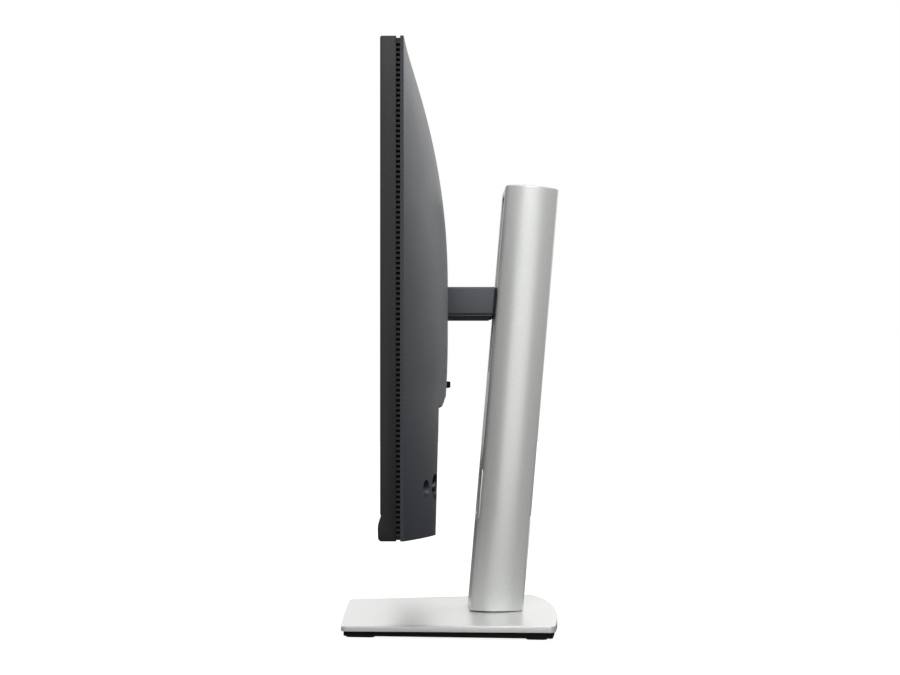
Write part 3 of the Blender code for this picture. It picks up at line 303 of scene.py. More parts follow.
# %% A mask between two values
def between(tree, value, low, high):
    """1 where the value lies from low to high, 0 outside."""
    over = add_node(tree, "ShaderNodeMath", {"operation": "GREATER_THAN"}, {0: value, 1: low})
    below = add_node(tree, "ShaderNodeMath", {"operation": "LESS_THAN"}, {0: value, 1: high})
    return add_node(tree, "ShaderNodeMath", {"operation": "MULTIPLY"}, {
        0: over.outputs[0], 1: below.outputs[0]}).outputs[0]


print("mask helper ready")

# %% Screen glass and LED bar
PICTURE_HALF, PICTURE_LOW, PICTURE_HIGH = 263.5, 107.5, 404.0


def screen_glass():
    finish = new_finish("anti_glare_screen", "0b0c0f", 0.22, ior=1.5)
    tree = finish.node_tree
    shader = tree.nodes["Principled BSDF"]
    place = add_node(tree, "ShaderNodeTexCoord").outputs["Object"]
    axes = add_node(tree, "ShaderNodeSeparateXYZ", inputs={0: place})
    wide = between(tree, axes.outputs["X"], -PICTURE_HALF * MM, PICTURE_HALF * MM)
    tall = between(tree, axes.outputs["Z"], PICTURE_LOW * MM, PICTURE_HIGH * MM)
    picture = add_node(tree, "ShaderNodeMath", {"operation": "MULTIPLY"}, {0: wide, 1: tall})
    colour = add_node(tree, "ShaderNodeMix", {"data_type": "RGBA"}, {
        0: picture.outputs[0], 6: linear("060607"), 7: linear("0f1115")})
    tree.links.new(colour.outputs[2], shader.inputs["Base Color"])
    haze = add_node(tree, "ShaderNodeTexNoise", inputs={
        "Vector": place, "Scale": 1 / (0.4 * MM), "Detail": 2.0})
    bump = add_node(tree, "ShaderNodeBump", inputs={
        "Strength": 0.3, "Distance": 0.01 * MM, "Height": haze.outputs[0]})
    tree.links.new(bump.outputs[0], shader.inputs["Normal"])
    return finish


LED_STEP, LED_CHIP = 6.0, 2.2


def led_strip():
    finish = new_finish("led_strip", "efece0", 0.5)
    tree = finish.node_tree
    shader = tree.nodes["Principled BSDF"]
    place = add_node(tree, "ShaderNodeTexCoord").outputs["Object"]
    axes = add_node(tree, "ShaderNodeSeparateXYZ", inputs={0: place})
    step = add_node(tree, "ShaderNodeMath", {"operation": "PINGPONG"}, {
        0: axes.outputs["X"], 1: LED_STEP / 2 * MM})
    chip = between(tree, step.outputs[0], -1.0, LED_CHIP / 2 * MM)
    colour = add_node(tree, "ShaderNodeMix", {"data_type": "RGBA"}, {
        0: chip, 6: linear("f0eee6"), 7: linear("d9c33f")})
    tree.links.new(colour.outputs[2], shader.inputs["Base Color"])
    return finish


screen = screen_glass()
leds = led_strip()
print("screen and LED bar ready")

# %% [markdown]
# ## Tools for shapes
# All shapes are drawn in millimetres in the frame's own axes and scaled to metres when they are
# finished. A loft joins rings of equally many points; nearly every solid here is one.
# Holes are cut with Boolean modifiers that are applied at once, so each piece ends as a plain mesh.

# %% Outlines and lofts
def arc(centre_a, centre_b, radius, start, end, steps):
    """Points on an arc, angles in degrees."""
    turns = [math.radians(start + (end - start) * i / steps) for i in range(steps + 1)]
    return [(centre_a + radius * math.cos(t), centre_b + radius * math.sin(t)) for t in turns]


def rounded_rectangle(centre_a, centre_b, half_a, half_b, radius, steps=6):
    points = []
    for quarter, (side_a, side_b) in enumerate(((1, 1), (-1, 1), (-1, -1), (1, -1))):
        points += arc(centre_a + side_a * (half_a - radius), centre_b + side_b * (half_b - radius),
                      radius, 90 * quarter, 90 * quarter + 90, steps)
    return points


def in_space(axis, a, b, height):
    return {"X": (height, a, b), "Y": (a, height, b), "Z": (a, b, height)}[axis]


def add_loft(bm, rings):
    made = [[bm.verts.new(point) for point in ring] for ring in rings]
    for lower, upper in zip(made, made[1:]):
        for i in range(len(lower)):
            j = (i + 1) % len(lower)
            bm.faces.new((lower[i], lower[j], upper[j], upper[i]))
    bm.faces.new(reversed(made[0]))
    bm.faces.new(made[-1])


def add_band(bm, rings):
    """Joins rings in a circle, the last to the first, as in a frame or a grommet."""
    made = [[bm.verts.new(point) for point in ring] for ring in rings]
    for lower, upper in zip(made, made[1:] + made[:1]):
        for i in range(len(lower)):
            j = (i + 1) % len(lower)
            bm.faces.new((lower[i], lower[j], upper[j], upper[i]))


def add_prism(bm, outline, axis, start, end):
    add_loft(bm, [[in_space(axis, a, b, h) for a, b in outline] for h in (start, end)])


def add_box(bm, low, high):
    corners = [(low[0], low[1]), (high[0], low[1]), (high[0], high[1]), (low[0], high[1])]
    add_prism(bm, corners, "Z", low[2], high[2])


def add_turned(bm, profile, axis, centre, steps=48):
    """Spins (radius, height) points about an axis; a radius of 0 closes the solid there."""
    rings = []
    for radius, height in profile:
        turns = [2 * math.pi * i / steps for i in range(steps)] if radius > 0 else [0.0]
        ring = []
        for turn in turns:
            a, b = radius * math.cos(turn), radius * math.sin(turn)
            point = {"X": (height, a, b), "Y": (b, height, a), "Z": (a, b, height)}[axis]
            ring.append(bm.verts.new(Vector(point) + Vector(centre)))
        rings.append(ring)
    closed = profile[0][0] > 0
    pairs = list(zip(rings, rings[1:])) + ([(rings[-1], rings[0])] if closed else [])
    for first, second in pairs:
        for i in range(steps):
            j = (i + 1) % steps
            corners = [first[i % len(first)], first[j % len(first)],
                       second[j % len(second)], second[i % len(second)]]
            bm.faces.new(list(dict.fromkeys(corners)))


print("outline of a 10 mm square with 2 mm corners:", len(rounded_rectangle(0, 0, 5, 5, 2)))

# %% Finishing, cutting and rounding
def solid(name, bm):
    """An object from millimetre geometry, closed and facing outwards."""
    bmesh.ops.remove_doubles(bm, verts=bm.verts, dist=0.0005)
    bmesh.ops.recalc_face_normals(bm, faces=bm.faces)
    bmesh.ops.scale(bm, verts=bm.verts, vec=(MM, MM, MM))
    mesh = bpy.data.meshes.new(name)
    bm.to_mesh(mesh)
    bm.free()
    thing = bpy.data.objects.new(name, mesh)
    bpy.context.scene.collection.objects.link(thing)
    return thing


def keep_result(thing):
    """Turns an object and its modifiers into a plain mesh."""
    bpy.context.view_layer.update()
    evaluated = thing.evaluated_get(bpy.context.evaluated_depsgraph_get())
    mesh = bpy.data.meshes.new_from_object(evaluated)
    mesh.name = thing.name
    thing.modifiers.clear()
    thing.data = mesh
    return thing


def boolean(thing, bm, operation="DIFFERENCE"):
    helper = solid("helper", bm)
    modifier = thing.modifiers.new("cut", "BOOLEAN")
    modifier.operation = operation
    modifier.solver = "EXACT"
    modifier.object = helper
    keep_result(thing)
    bpy.data.objects.remove(helper)
    return thing


def round_edges(thing, width, segments=3, angle=40):
    modifier = thing.modifiers.new("round", "BEVEL")
    modifier.width = width * MM
    modifier.segments = segments
    modifier.limit_method = "ANGLE"
    modifier.angle_limit = math.radians(angle)
    return keep_result(thing)


def show(thing, body, slot, finish, *nodes, angle=35):
    """Gives a finished piece its finish and its body, and hides the nodes it stands for. The slot is
    not used.
    """
    thing.data.materials.clear()
    thing.data.materials.append(finish)
    thing.data.shade_smooth()
    thing.data.set_sharp_from_angle(angle=math.radians(angle))
    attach(thing, body)
    if nodes:
        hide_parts(*nodes)
    print(thing.name, len(thing.data.polygons), "faces")
    return thing


print("finishing helpers ready")

# %% [markdown]
# ## Repeats with Geometry Nodes
# Vent bars, screws, ribs and contacts are one small shape at even steps. A line of points takes a
# copy of the shape at each point, which is exactly what Mesh Line and Instance on Points do. Two
# such lines, one stepping the other, make a grid, so one tree serves rows and grids alike.

# %% A tree for rows and grids of copies
def copies_tree():
    tree = bpy.data.node_groups.new("rows_of_copies", "GeometryNodeTree")
    face = tree.interface
    face.new_socket("Geometry", in_out="INPUT", socket_type="NodeSocketGeometry")
    for name, kind in (("Shape", "Object"), ("Start", "Vector"), ("Step", "Vector"),
                       ("Count", "Int"), ("Row step", "Vector"), ("Rows", "Int"),
                       ("Finish", "Material")):
        face.new_socket(name, in_out="INPUT", socket_type=f"NodeSocket{kind}")
    face.new_socket("Geometry", in_out="OUTPUT", socket_type="NodeSocketGeometry")
    given = add_node(tree, "NodeGroupInput").outputs
    shape = add_node(tree, "GeometryNodeObjectInfo", inputs={"Object": given["Shape"]})
    rows = add_node(tree, "GeometryNodeMeshLine", {"mode": "OFFSET"}, {
        "Count": given["Rows"], "Start Location": given["Start"], "Offset": given["Row step"]})
    line = add_node(tree, "GeometryNodeMeshLine", {"mode": "OFFSET"}, {
        "Count": given["Count"], "Offset": given["Step"]})
    grid = add_node(tree, "GeometryNodeInstanceOnPoints", inputs={
        "Points": rows.outputs[0], "Instance": line.outputs[0]})
    points = add_node(tree, "GeometryNodeRealizeInstances", inputs={0: grid.outputs[0]})
    copies = add_node(tree, "GeometryNodeInstanceOnPoints", inputs={
        "Points": points.outputs[0], "Instance": shape.outputs["Geometry"]})
    real = add_node(tree, "GeometryNodeRealizeInstances", inputs={0: copies.outputs[0]})
    painted = add_node(tree, "GeometryNodeSetMaterial", inputs={
        "Geometry": real.outputs[0], "Material": given["Finish"]})
    add_node(tree, "NodeGroupOutput", inputs={0: painted.outputs[0]})
    return tree


copies = copies_tree()
print("inputs:", [item.name for item in copies.interface.items_tree if item.in_out == "INPUT"])

# %% Run the tree
def run_copies(name, bm, finish, start, step, count, row_step=(0, 0, 0), rows=1):
    """Copies of a small shape drawn round its own origin, as one plain mesh."""
    shape = solid("shape", bm)
    thing = bpy.data.objects.new(name, bpy.data.meshes.new(name))
    bpy.context.scene.collection.objects.link(thing)
    modifier = thing.modifiers.new("copies", "NODES")
    modifier.node_group = copies
    values = {"Shape": shape, "Start": Vector(start) * MM, "Step": Vector(step) * MM,
              "Count": count, "Row step": Vector(row_step) * MM, "Rows": rows, "Finish": finish}
    for item in copies.interface.items_tree:
        if item.in_out == "INPUT" and item.name in values:
            modifier[item.identifier] = values[item.name]
    keep_result(thing)
    bpy.data.objects.remove(shape)
    return thing


def join_all(name, things):
    """One mesh from several finished ones, with their faces in order."""
    bm = bmesh.new()
    for thing in things:
        bm.from_mesh(thing.data)
        bpy.data.objects.remove(thing)
    mesh = bpy.data.meshes.new(name)
    bm.to_mesh(mesh)
    bm.free()
    whole = bpy.data.objects.new(name, mesh)
    bpy.context.scene.collection.objects.link(whole)
    return whole


print("rows are made with", copies.name)

# %% [markdown]
# ## The head's sizes
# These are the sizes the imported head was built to. The bezel is a shallow tray, 10 mm deep at the
# side. Behind it runs a groove 2.4 mm wide, and behind that stands the cover with its flat rim.
# The recess for the stand and the one for the sockets are square holes in the cover, each with a
# floor, and the two control dishes are round ones.

# %% Sizes of the head
HEAD_HALF, HEAD_LOW, HEAD_HIGH = 268.9, 87.6, 407.8
FRONT, BAND_BACK, COVER_FRONT, RIM_BACK = -52.3, -42.0, -39.6, -37.35
CHIN_TOP = 105.3
ARM_Z = 259.65
LEDGE_LOW, LEDGE_HIGH = 174.0, 185.5
BEZEL_WALL, WALL = 1.8, 2.2
MOUNT_HALF, MOUNT_FLOOR = 58.0, -20.0  # the stand's recess
PORTS_HALF, PORTS_LOW, PORTS_FLOOR = 122.0, 140.0, -32.6  # the sockets' recess
STICK, POWER = (215.0, 0, 120.0), (234.5, 0, 119.6)  # the axes of the two controls
WELL_HALF, WELL_LOW, WELL_HIGH = 7.3, 191.2, 196.9  # the release button's well
WELL_Z = (WELL_LOW + WELL_HIGH) / 2
print("head:", 2 * HEAD_HALF, "by", round(HEAD_HIGH - HEAD_LOW, 1), "mm")

# %% [markdown]
# ### Front bezel
# The bezel's section is the same all along its width, so it is a prism: a flat side
# band, and a chin at the bottom that bulges forward a little. Its outer edges get a 0.5 mm
# radius before the inside is cut away, because a moulded edge is never sharp.

# %% Front bezel
bm = bmesh.new()
chin = [point for point in arc(FRONT + 14.5, 95.5, 16.0, 150, 180, 10) if point[1] < CHIN_TOP - 1]
profile = [(FRONT, CHIN_TOP)] + chin + arc(FRONT + 1.2, HEAD_LOW + 2.6, 2.6, 190, 270, 8)
profile += [(BAND_BACK, HEAD_LOW), (BAND_BACK, HEAD_HIGH), (FRONT + 0.8, HEAD_HIGH),
            (FRONT, HEAD_HIGH - 0.8)]
add_prism(bm, profile, "X", -HEAD_HALF, HEAD_HALF)
bezel = round_edges(solid("bezel", bm), 0.5, 3, 50)
bm = bmesh.new()
inner = HEAD_HALF - BEZEL_WALL
add_box(bm, (-inner, FRONT + 0.4, HEAD_LOW + 2), (inner, BAND_BACK + 1, HEAD_HIGH - BEZEL_WALL))
boolean(bezel, bm)
bm = bmesh.new()
add_box(bm, (-inner, FRONT - 8, CHIN_TOP), (inner, FRONT + 1, HEAD_HIGH - BEZEL_WALL))
boolean(bezel, bm)
bm = bmesh.new()
add_turned(bm, [(0, HEAD_LOW - 2), (1.4, HEAD_LOW - 2), (1.4, HEAD_LOW + 4), (0, HEAD_LOW + 4)],
           "Z", (250, -47, 0), 24)
boolean(bezel, bm)
show(bezel, "head", "bezel_plastic", bezel_abs, "front_bezel")

# %% [markdown]
# ### Vent strip
# Warm air leaves through the groove: a row of square holes all the way round, one every 3.2 mm.
# The strip between two holes is a small bar. The bars are the repeat, so each side of the head
# takes a line of them from the tree, in front of one near-black backing frame: painted shade that
# stands in for the dark inside of the holes.

# %% Vent bars
PITCH, BAR, HOLE_DEPTH = 3.217, 1.32, 3.0
STRIP_FRONT, STRIP_BACK = BAND_BACK + 0.02, COVER_FRONT - 0.02
STRIP_OUT = HEAD_HALF - 0.3
STRIP_HIGH, STRIP_LOW = HEAD_HIGH - 0.7, HEAD_LOW + 0.7


def bar(size_x, size_z):
    bm = bmesh.new()
    half_y = (STRIP_BACK - STRIP_FRONT) / 2
    add_box(bm, (-size_x / 2, -half_y, -size_z / 2), (size_x / 2, half_y, size_z / 2))
    return bm


groove_y = (STRIP_FRONT + STRIP_BACK) / 2
up_count = int((STRIP_HIGH - STRIP_LOW - 0.4) / PITCH)
across_count = int((2 * STRIP_OUT - 2) / PITCH)
up_start = (STRIP_HIGH + STRIP_LOW - (up_count - 1) * PITCH) / 2
across_start = -(across_count - 1) * PITCH / 2
bars = []
for side in (-1, 1):
    place = (side * (STRIP_OUT - HOLE_DEPTH / 2), groove_y, up_start)
    bars.append(run_copies("side_bars", bar(HOLE_DEPTH, BAR), bezel_abs, place, (0, 0, PITCH),
                           up_count))
for height in (STRIP_LOW + HOLE_DEPTH / 2, STRIP_HIGH - HOLE_DEPTH / 2):
    bars.append(run_copies("level_bars", bar(BAR, HOLE_DEPTH), bezel_abs,
                           (across_start, groove_y, height), (PITCH, 0, 0), across_count))
print("holes up each side:", up_count - 1, "across:", across_count - 1)

# %% Vent backing frame, painted shade behind the holes
bm = bmesh.new()
deep = HOLE_DEPTH - 0.01
loops = []
for inset in (deep, deep + 1.6):
    loops.append(rounded_rectangle(0, (STRIP_LOW + STRIP_HIGH) / 2, STRIP_OUT - inset,
                                   (STRIP_HIGH - STRIP_LOW) / 2 - inset, 0.5, 2))
lines = [(loops[0], STRIP_FRONT), (loops[0], STRIP_BACK), (loops[1], STRIP_BACK),
         (loops[1], STRIP_FRONT)]
add_band(bm, [[(x, y, z) for x, z in line] for line, y in lines])
# the near-black frame is painted shade: it stands in for the dark inside of the head behind the vent
# holes
show(solid("vent_backing", bm), "head", "vent_plastic", black_abs)
show(join_all("vent_ladder", bars), "head", "vent_plastic", bezel_abs, "vent_strip")

# %% [markdown]
# ### Rear cover
# The cover is a height map: how far the back stands behind its rim depends on x and z. It is level
# in the middle and falls away in a parabola towards the top and each side; near the top the sides
# fall in a straighter line. A ledge across the lower part shields the sockets. A grid of points is
# lifted to that height and joined to a flat front, then the inside and the recesses are cut out.

# %% The height of the back
CROWN, LEVEL_HALF, LEVEL_HIGH, LEVEL_LOW = 31.0, 150.0, 262.0, 221.0
FALL_UP, FALL_DOWN = 0.00108, 0.0009  # how fast each parabola falls, per mm
SHELF, SHELF_SLOPE, LEDGE_LIP, EDGE_ROUND = 23.7, 0.0275, 26.2, 3.0


def cover_height(x, z):
    """How far the back stands behind the rim at (x, z), in millimetres."""
    if z > LEVEL_HIGH:
        depth = CROWN - FALL_UP * (z - LEVEL_HIGH) ** 2
    else:
        depth = CROWN - FALL_DOWN * (LEVEL_LOW - min(max(z, LEDGE_HIGH), LEVEL_LOW)) ** 2
    outward = max(0.0, abs(x) - LEVEL_HALF) / (HEAD_HALF - LEVEL_HALF)
    straighter = max(0.0, z - LEVEL_HIGH) / (HEAD_HIGH - LEVEL_HIGH)
    height = depth * (1 - outward ** (2 - straighter**2))
    if z <= LEDGE_LOW:
        height = min(height, SHELF - SHELF_SLOPE * (LEDGE_LOW - z))
    elif z < LEDGE_HIGH:
        rise = (z - LEDGE_LOW) / (LEDGE_HIGH - LEDGE_LOW)
        height = min(height, LEDGE_LIP + rise * (CROWN - LEDGE_LIP))
    soft = min(EDGE_ROUND, height)
    edge = max(0.0, min(HEAD_HIGH - z, soft))
    return height - (soft - math.sqrt(max(0.0, soft**2 - (soft - edge) ** 2)))


def spread(start, end, count):
    return [start + (end - start) * i / count for i in range(count)]


def add_height_solid(bm, columns, rows, front, back):
    """A solid from a flat front at Y = front to the surface back(x, z)."""
    sheets = []
    for place in (lambda x, z: front, back):
        sheets.append([[bm.verts.new((x, place(x, z), z)) for x in columns] for z in rows])
    for sheet in sheets:
        for low, high in zip(sheet, sheet[1:]):
            for i in range(len(columns) - 1):
                bm.faces.new((low[i], low[i + 1], high[i + 1], high[i]))
    near, far = sheets
    borders = [(near[0], far[0]), (near[-1], far[-1]),
               ([row[0] for row in near], [row[0] for row in far]),
               ([row[-1] for row in near], [row[-1] for row in far])]
    for first, second in borders:
        for i in range(len(first) - 1):
            bm.faces.new((first[i], first[i + 1], second[i + 1], second[i]))


print("height at the middle:", round(cover_height(0, LEVEL_HIGH), 2), "mm")

# %% Cover: outside
half_columns = spread(0, LEVEL_HALF, 6) + spread(LEVEL_HALF, 250, 22)
half_columns += spread(250, HEAD_HALF, 9) + [HEAD_HALF]
columns = [-x for x in reversed(half_columns[1:])] + half_columns
rows = spread(HEAD_LOW, LEDGE_LOW, 5) + [LEDGE_LOW, LEDGE_LOW + 0.2]
rows += spread(LEDGE_LOW + 0.2, LEDGE_HIGH, 3)[1:] + spread(LEDGE_HIGH, LEVEL_HIGH, 7)
rows += spread(LEVEL_HIGH, HEAD_HIGH - EDGE_ROUND, 22)
rows += [HEAD_HIGH - EDGE_ROUND * (1 - math.sin(math.radians(t))) for t in range(0, 91, 15)]
bm = bmesh.new()
add_height_solid(bm, columns, rows, COVER_FRONT, lambda x, z: RIM_BACK + cover_height(x, z))
cover = solid("crowned_cover", bm)
print("grid:", len(columns), "by", len(rows))

# %% Cover: inside, leaving walls round the recesses
def hollow_back(x, z):
    return RIM_BACK + min(cover_height(x, z + shift) for shift in (-WALL, 0, WALL)) - WALL


def rod(bm, axis, centre, radius, start, end, steps=40):
    add_turned(bm, [(0, start), (radius, start), (radius, end), (0, end)], axis, centre, steps)


bm = bmesh.new()
reach = (HEAD_HALF - WALL) / HEAD_HALF
inner_rows = [HEAD_LOW + WALL] + [z for z in rows if HEAD_LOW < z < HEAD_HIGH - EDGE_ROUND]
inner_rows += [HEAD_HIGH - WALL]
add_height_solid(bm, [x * reach for x in columns], inner_rows, COVER_FRONT - 2, hollow_back)
room = solid("inside", bm)
bm = bmesh.new()
out = MOUNT_HALF + WALL
add_box(bm, (-out, MOUNT_FLOOR - WALL, ARM_Z - out), (out, 5, ARM_Z + out))
add_box(bm, (-PORTS_HALF - WALL, PORTS_FLOOR - 2.0, PORTS_LOW - WALL),
        (PORTS_HALF + WALL, 5, LEDGE_LOW + WALL))
rod(bm, "Y", STICK, 10.5, -24.7, 0)
rod(bm, "Y", POWER, 7.75, -29.2, 0)
boolean(room, bm)
bm = bmesh.new()
add_box(bm, (-WELL_HALF - WALL, MOUNT_FLOOR - WALL, WELL_LOW - WALL),
        (WELL_HALF + WALL, 5, ARM_Z - MOUNT_HALF))
boolean(room, bm)
carving = cover.modifiers.new("cut", "BOOLEAN")
carving.operation = "DIFFERENCE"
carving.solver = "EXACT"
carving.object = room
keep_result(cover)
bpy.data.objects.remove(room)
print("hollow cover:", len(cover.data.polygons), "faces")

# %% Cover: recesses, dishes and holes
bm = bmesh.new()
add_prism(bm, rounded_rectangle(0, ARM_Z, MOUNT_HALF, MOUNT_HALF, 6, 8), "Y", MOUNT_FLOOR, 5)
add_box(bm, (-PORTS_HALF, PORTS_FLOOR, PORTS_LOW), (PORTS_HALF, 5, LEDGE_LOW))
boolean(cover, bm)
bm = bmesh.new()
dish = [(0, -22.5), (5.5, -22.5), (7.0, -21.6), (7.9, -20.0), (8.5, -17.5), (8.5, 0), (0, 0)]
add_turned(bm, dish, "Y", STICK)
dish = [(0, -27.0), (4.2, -27.0), (5.2, -26.4), (5.75, -25.2), (5.75, 0), (0, 0)]
add_turned(bm, dish, "Y", POWER)
boolean(cover, bm)
GAP, HOLE_HALF = 0.3, 50.0  # room round a socket, and the 100 mm square of screw holes
SOCKETS = {  # name: (middle X, half width, Y from, Y to)
    "power_inlet": (-95.0, 14.5, -32.3, -13.9),
    "digital_video_port_1": (-8.0, 8.0, -27.0, -20.4),
    "digital_video_port_2": (14.0, 9.0, -27.0, -20.2),
    "analog_video_port": (48.0, 15.5, -29.0, -18.0),
    "upstream_data_port": (76.0, 5.2, -28.6, -18.6),
    "data_port_pair": (102.0, 14.4, -27.2, -20.0),
}
bm = bmesh.new()
rod(bm, "Y", STICK, 4.6, -26, -20)
rod(bm, "Y", POWER, 4.5, -31, -25)
add_box(bm, (-WELL_HALF, MOUNT_FLOOR, WELL_LOW), (WELL_HALF, 5, WELL_HIGH))
for x, half, low, high in SOCKETS.values():
    add_box(bm, (x - half - GAP, low - GAP, LEDGE_LOW - 1),
            (x + half + GAP, high + GAP, LEDGE_LOW + 4))
for x in (-HOLE_HALF, HOLE_HALF):
    for lift in (-HOLE_HALF, HOLE_HALF):
        rod(bm, "Y", (x, 0, ARM_Z + lift), 2.4, MOUNT_FLOOR - 3, MOUNT_FLOOR + 1)
boolean(cover, bm)
bm = bmesh.new()
add_box(bm, (-6.9, MOUNT_FLOOR, WELL_HIGH - 2), (6.9, -17.5, ARM_Z - MOUNT_HALF + 2))
boolean(cover, bm)
show(cover, "head", "cover_plastic", cover_abs, "rear_cover", angle=28)

# %% [markdown]
# ### Joystick, power button and release button
# The joystick knob is a small turned cap with a raised bead in the middle, so a thumb finds it
# without looking. The power button beside it is a plain dome. The release button under the arm
# is a block with grip ribs, and each rib is one copy of a thin bar.

# %% Control caps
bm = bmesh.new()
profile = [(0, -18.0), (2.5, -18.0), (2.5, -20.3), (3.3, -20.3), (3.3, -17.4)]
profile += [(2.9 + 0.4 * math.cos(math.radians(t)), -17.0 + 0.6 * math.sin(math.radians(t)))
            for t in (10, 40, 70, 90)]
profile += [(1.5, -16.55), (1.2, -16.2), (0.6, -16.1), (0, -16.1)]
add_turned(bm, profile, "Y", STICK)
show(solid("thumb_knob", bm), "stick_press", "button_plastic", button_abs, "joystick_knob")
bm = bmesh.new()
profile = [(0, -33.0), (5.2, -33.0), (5.2, -31.4), (4.1, -31.4), (4.1, -26.3)]
profile += [(4.1 * math.cos(math.radians(t)), -26.3 + 0.8 * math.sin(math.radians(t)))
            for t in (20, 40, 60, 80)] + [(0, -25.5)]
add_turned(bm, profile, "Y", POWER)
show(solid("power_cap", bm), "power_button", "button_plastic", button_abs, "power_button")

# %% Release button with ribs
bm = bmesh.new()
add_prism(bm, rounded_rectangle(0, WELL_Z, WELL_HALF - 0.3, 2.55, 1.2, 6), "Y", -12.0, -0.75)
block = round_edges(solid("release_block", bm), 0.3, 2, 60)
bm = bmesh.new()
add_prism(bm, rounded_rectangle(0, 0, 5.2, 0.28, 0.25, 3), "Y", -0.2, 0.44)
ribs = run_copies("release_ribs", bm, button_abs, (0, -0.74, WELL_Z - 1.6), (0, 0, 0.8), 5)
show(join_all("ribbed_release_button", [block, ribs]), "release_button", "button_plastic",
     black_abs, "release_button")

# %% [markdown]
# Behind the button a small compression spring pushes it back out. Its wire is a circle carried
# along a helix. It is drawn at full length and stays with the head when the button goes in 3 mm.

# %% Latch spring
COIL_START, COIL_END, COIL_RADIUS, WIRE, TURNS = -19.45, -12.1, 1.9, 0.35, 4.5
PRESS, TURN_STEPS = 3.0, 16
bm = bmesh.new()
rings = []
steps = int(TURNS * TURN_STEPS)
for i in range(steps + 1):
    turn = 2 * math.pi * i / TURN_STEPS
    y = COIL_START + WIRE + (COIL_END - COIL_START - 2 * WIRE) * i / steps
    out = Vector((math.cos(turn), 0, math.sin(turn)))
    middle = Vector((0, y, WELL_Z)) + out * COIL_RADIUS
    rings.append([tuple(middle + (out * math.cos(t) + Vector((0, 1, 0)) * math.sin(t)) * WIRE)
                  for t in (2 * math.pi * side / 8 for side in range(8))])
add_loft(bm, rings)
coil = solid("latch_coil", bm)
show(coil, "head", "spring_steel", spring_steel, "latch_spring")
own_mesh(coil)

# %% [markdown]
# ## The arm
# The arm is a short box with a plastic cover in two halves, cut to the column's lean at its rear
# end, where a thin dark seal closes it. The upper half is an upside-down channel.

# %% The column's lean
LEAN = math.radians(4.84)
FOOT = Vector((0.0, 36.15, 14.5))
HALF_DEPTH = 21.15
ALONG_ARM = (ARM_Z - FOOT.z) / math.cos(LEAN)


def column_plane(z, depth):
    """Y at a height of the plane that leans with the column, this far behind its axis."""
    return FOOT.y + (z - FOOT.z) * math.tan(LEAN) + depth / math.cos(LEAN)


def add_leaning_prism(bm, outline, front, back_depth, front_depth=None):
    rings = []
    for depth in (front_depth, back_depth):
        rings.append([(x, front if depth is None else column_plane(z, depth), z)
                      for x, z in outline])
    add_loft(bm, rings)


def arm_outline(width, low, high, radius):
    return rounded_rectangle(0, (low + high) / 2, width, (high - low) / 2, radius, 6)


def lean(bm):
    place = Matrix.Translation(FOOT) @ Matrix.Rotation(-LEAN, 4, "X")
    bmesh.ops.transform(bm, matrix=place, verts=bm.verts)
    return bm


print("arm sits", round(ALONG_ARM, 1), "mm up the column")

# %% Arm covers and seal
ARM_HALF, ARM_WIDE, ARM_FRONT = 11.55, 29.0, -7.0
low, high = ARM_Z - ARM_HALF, ARM_Z + ARM_HALF
seal_front = -HALF_DEPTH - 2.0
bm = bmesh.new()
add_leaning_prism(bm, arm_outline(ARM_WIDE, low + 0.9, high, 1.6), ARM_FRONT, seal_front - 0.3)
upper = round_edges(solid("arm_top_cover", bm), 0.4, 3, 50)
bm = bmesh.new()
add_prism(bm, [(-27, low), (27, low), (27, high - 2), (-27, high - 2)], "Y", -12, 60)
boolean(upper, bm)
show(upper, "arm", "arm_plastic", arm_abs, "arm_cover_upper")
bm = bmesh.new()
add_leaning_prism(bm, arm_outline(ARM_WIDE, low, low + 0.7, 0.3), ARM_FRONT, seal_front - 0.3)
show(round_edges(solid("arm_bottom_cover", bm), 0.15, 2, 50), "arm", "arm_dark_plastic",
     under_abs, "arm_cover_lower")
bm = bmesh.new()
add_leaning_prism(bm, arm_outline(28.4, low + 0.6, high - 0.6, 1.2), 0, -HALF_DEPTH - 0.5,
                  seal_front)
seal = solid("arm_rear_seal", bm)
bm = bmesh.new()
add_box(bm, (-15, 20, ARM_Z - 9), (15, 60, ARM_Z + 9))
boolean(seal, bm)
show(seal, "arm", "seal_plastic", rubber, "arm_end_seal")

# %% [markdown]
# ## The column
# The column is an aluminium tube with a flat front and back and sides that bow out. One
# arc makes each side and a small arc each corner, so the whole outline is tangent all the way
# round. The tube is lofted along its axis, tipped back 4.84 degrees, and cut level at the foot.

# %% Column outline
CORNER_X, CORNER_RADIUS, BOW = 22.0, 6.0, 4.0


def column_outline(inset, side_steps=24, corner_steps=8):
    """Flat front and back, small corners, and sides that bow out in one arc."""
    corner_y = HALF_DEPTH - CORNER_RADIUS
    turn = 2 * math.degrees(math.atan(BOW / corner_y))
    reach = corner_y / math.sin(math.radians(turn))
    side_x = CORNER_X - reach * math.cos(math.radians(turn))
    small = CORNER_RADIUS - inset
    right = arc(CORNER_X, -corner_y, small, -90, -turn, corner_steps)
    right += arc(side_x, 0, reach + small, -turn, turn, side_steps)[1:-1]
    right += arc(CORNER_X, corner_y, small, turn, 90, corner_steps)
    return right + [(-x, y) for x, y in reversed(right)]


def level_ring(outline, height):
    return [(x, y, (height - FOOT.z + y * math.sin(LEAN)) / math.cos(LEAN)) for x, y in outline]


print("column width:", round(2 * max(x for x, y in column_outline(0)), 1), "mm")

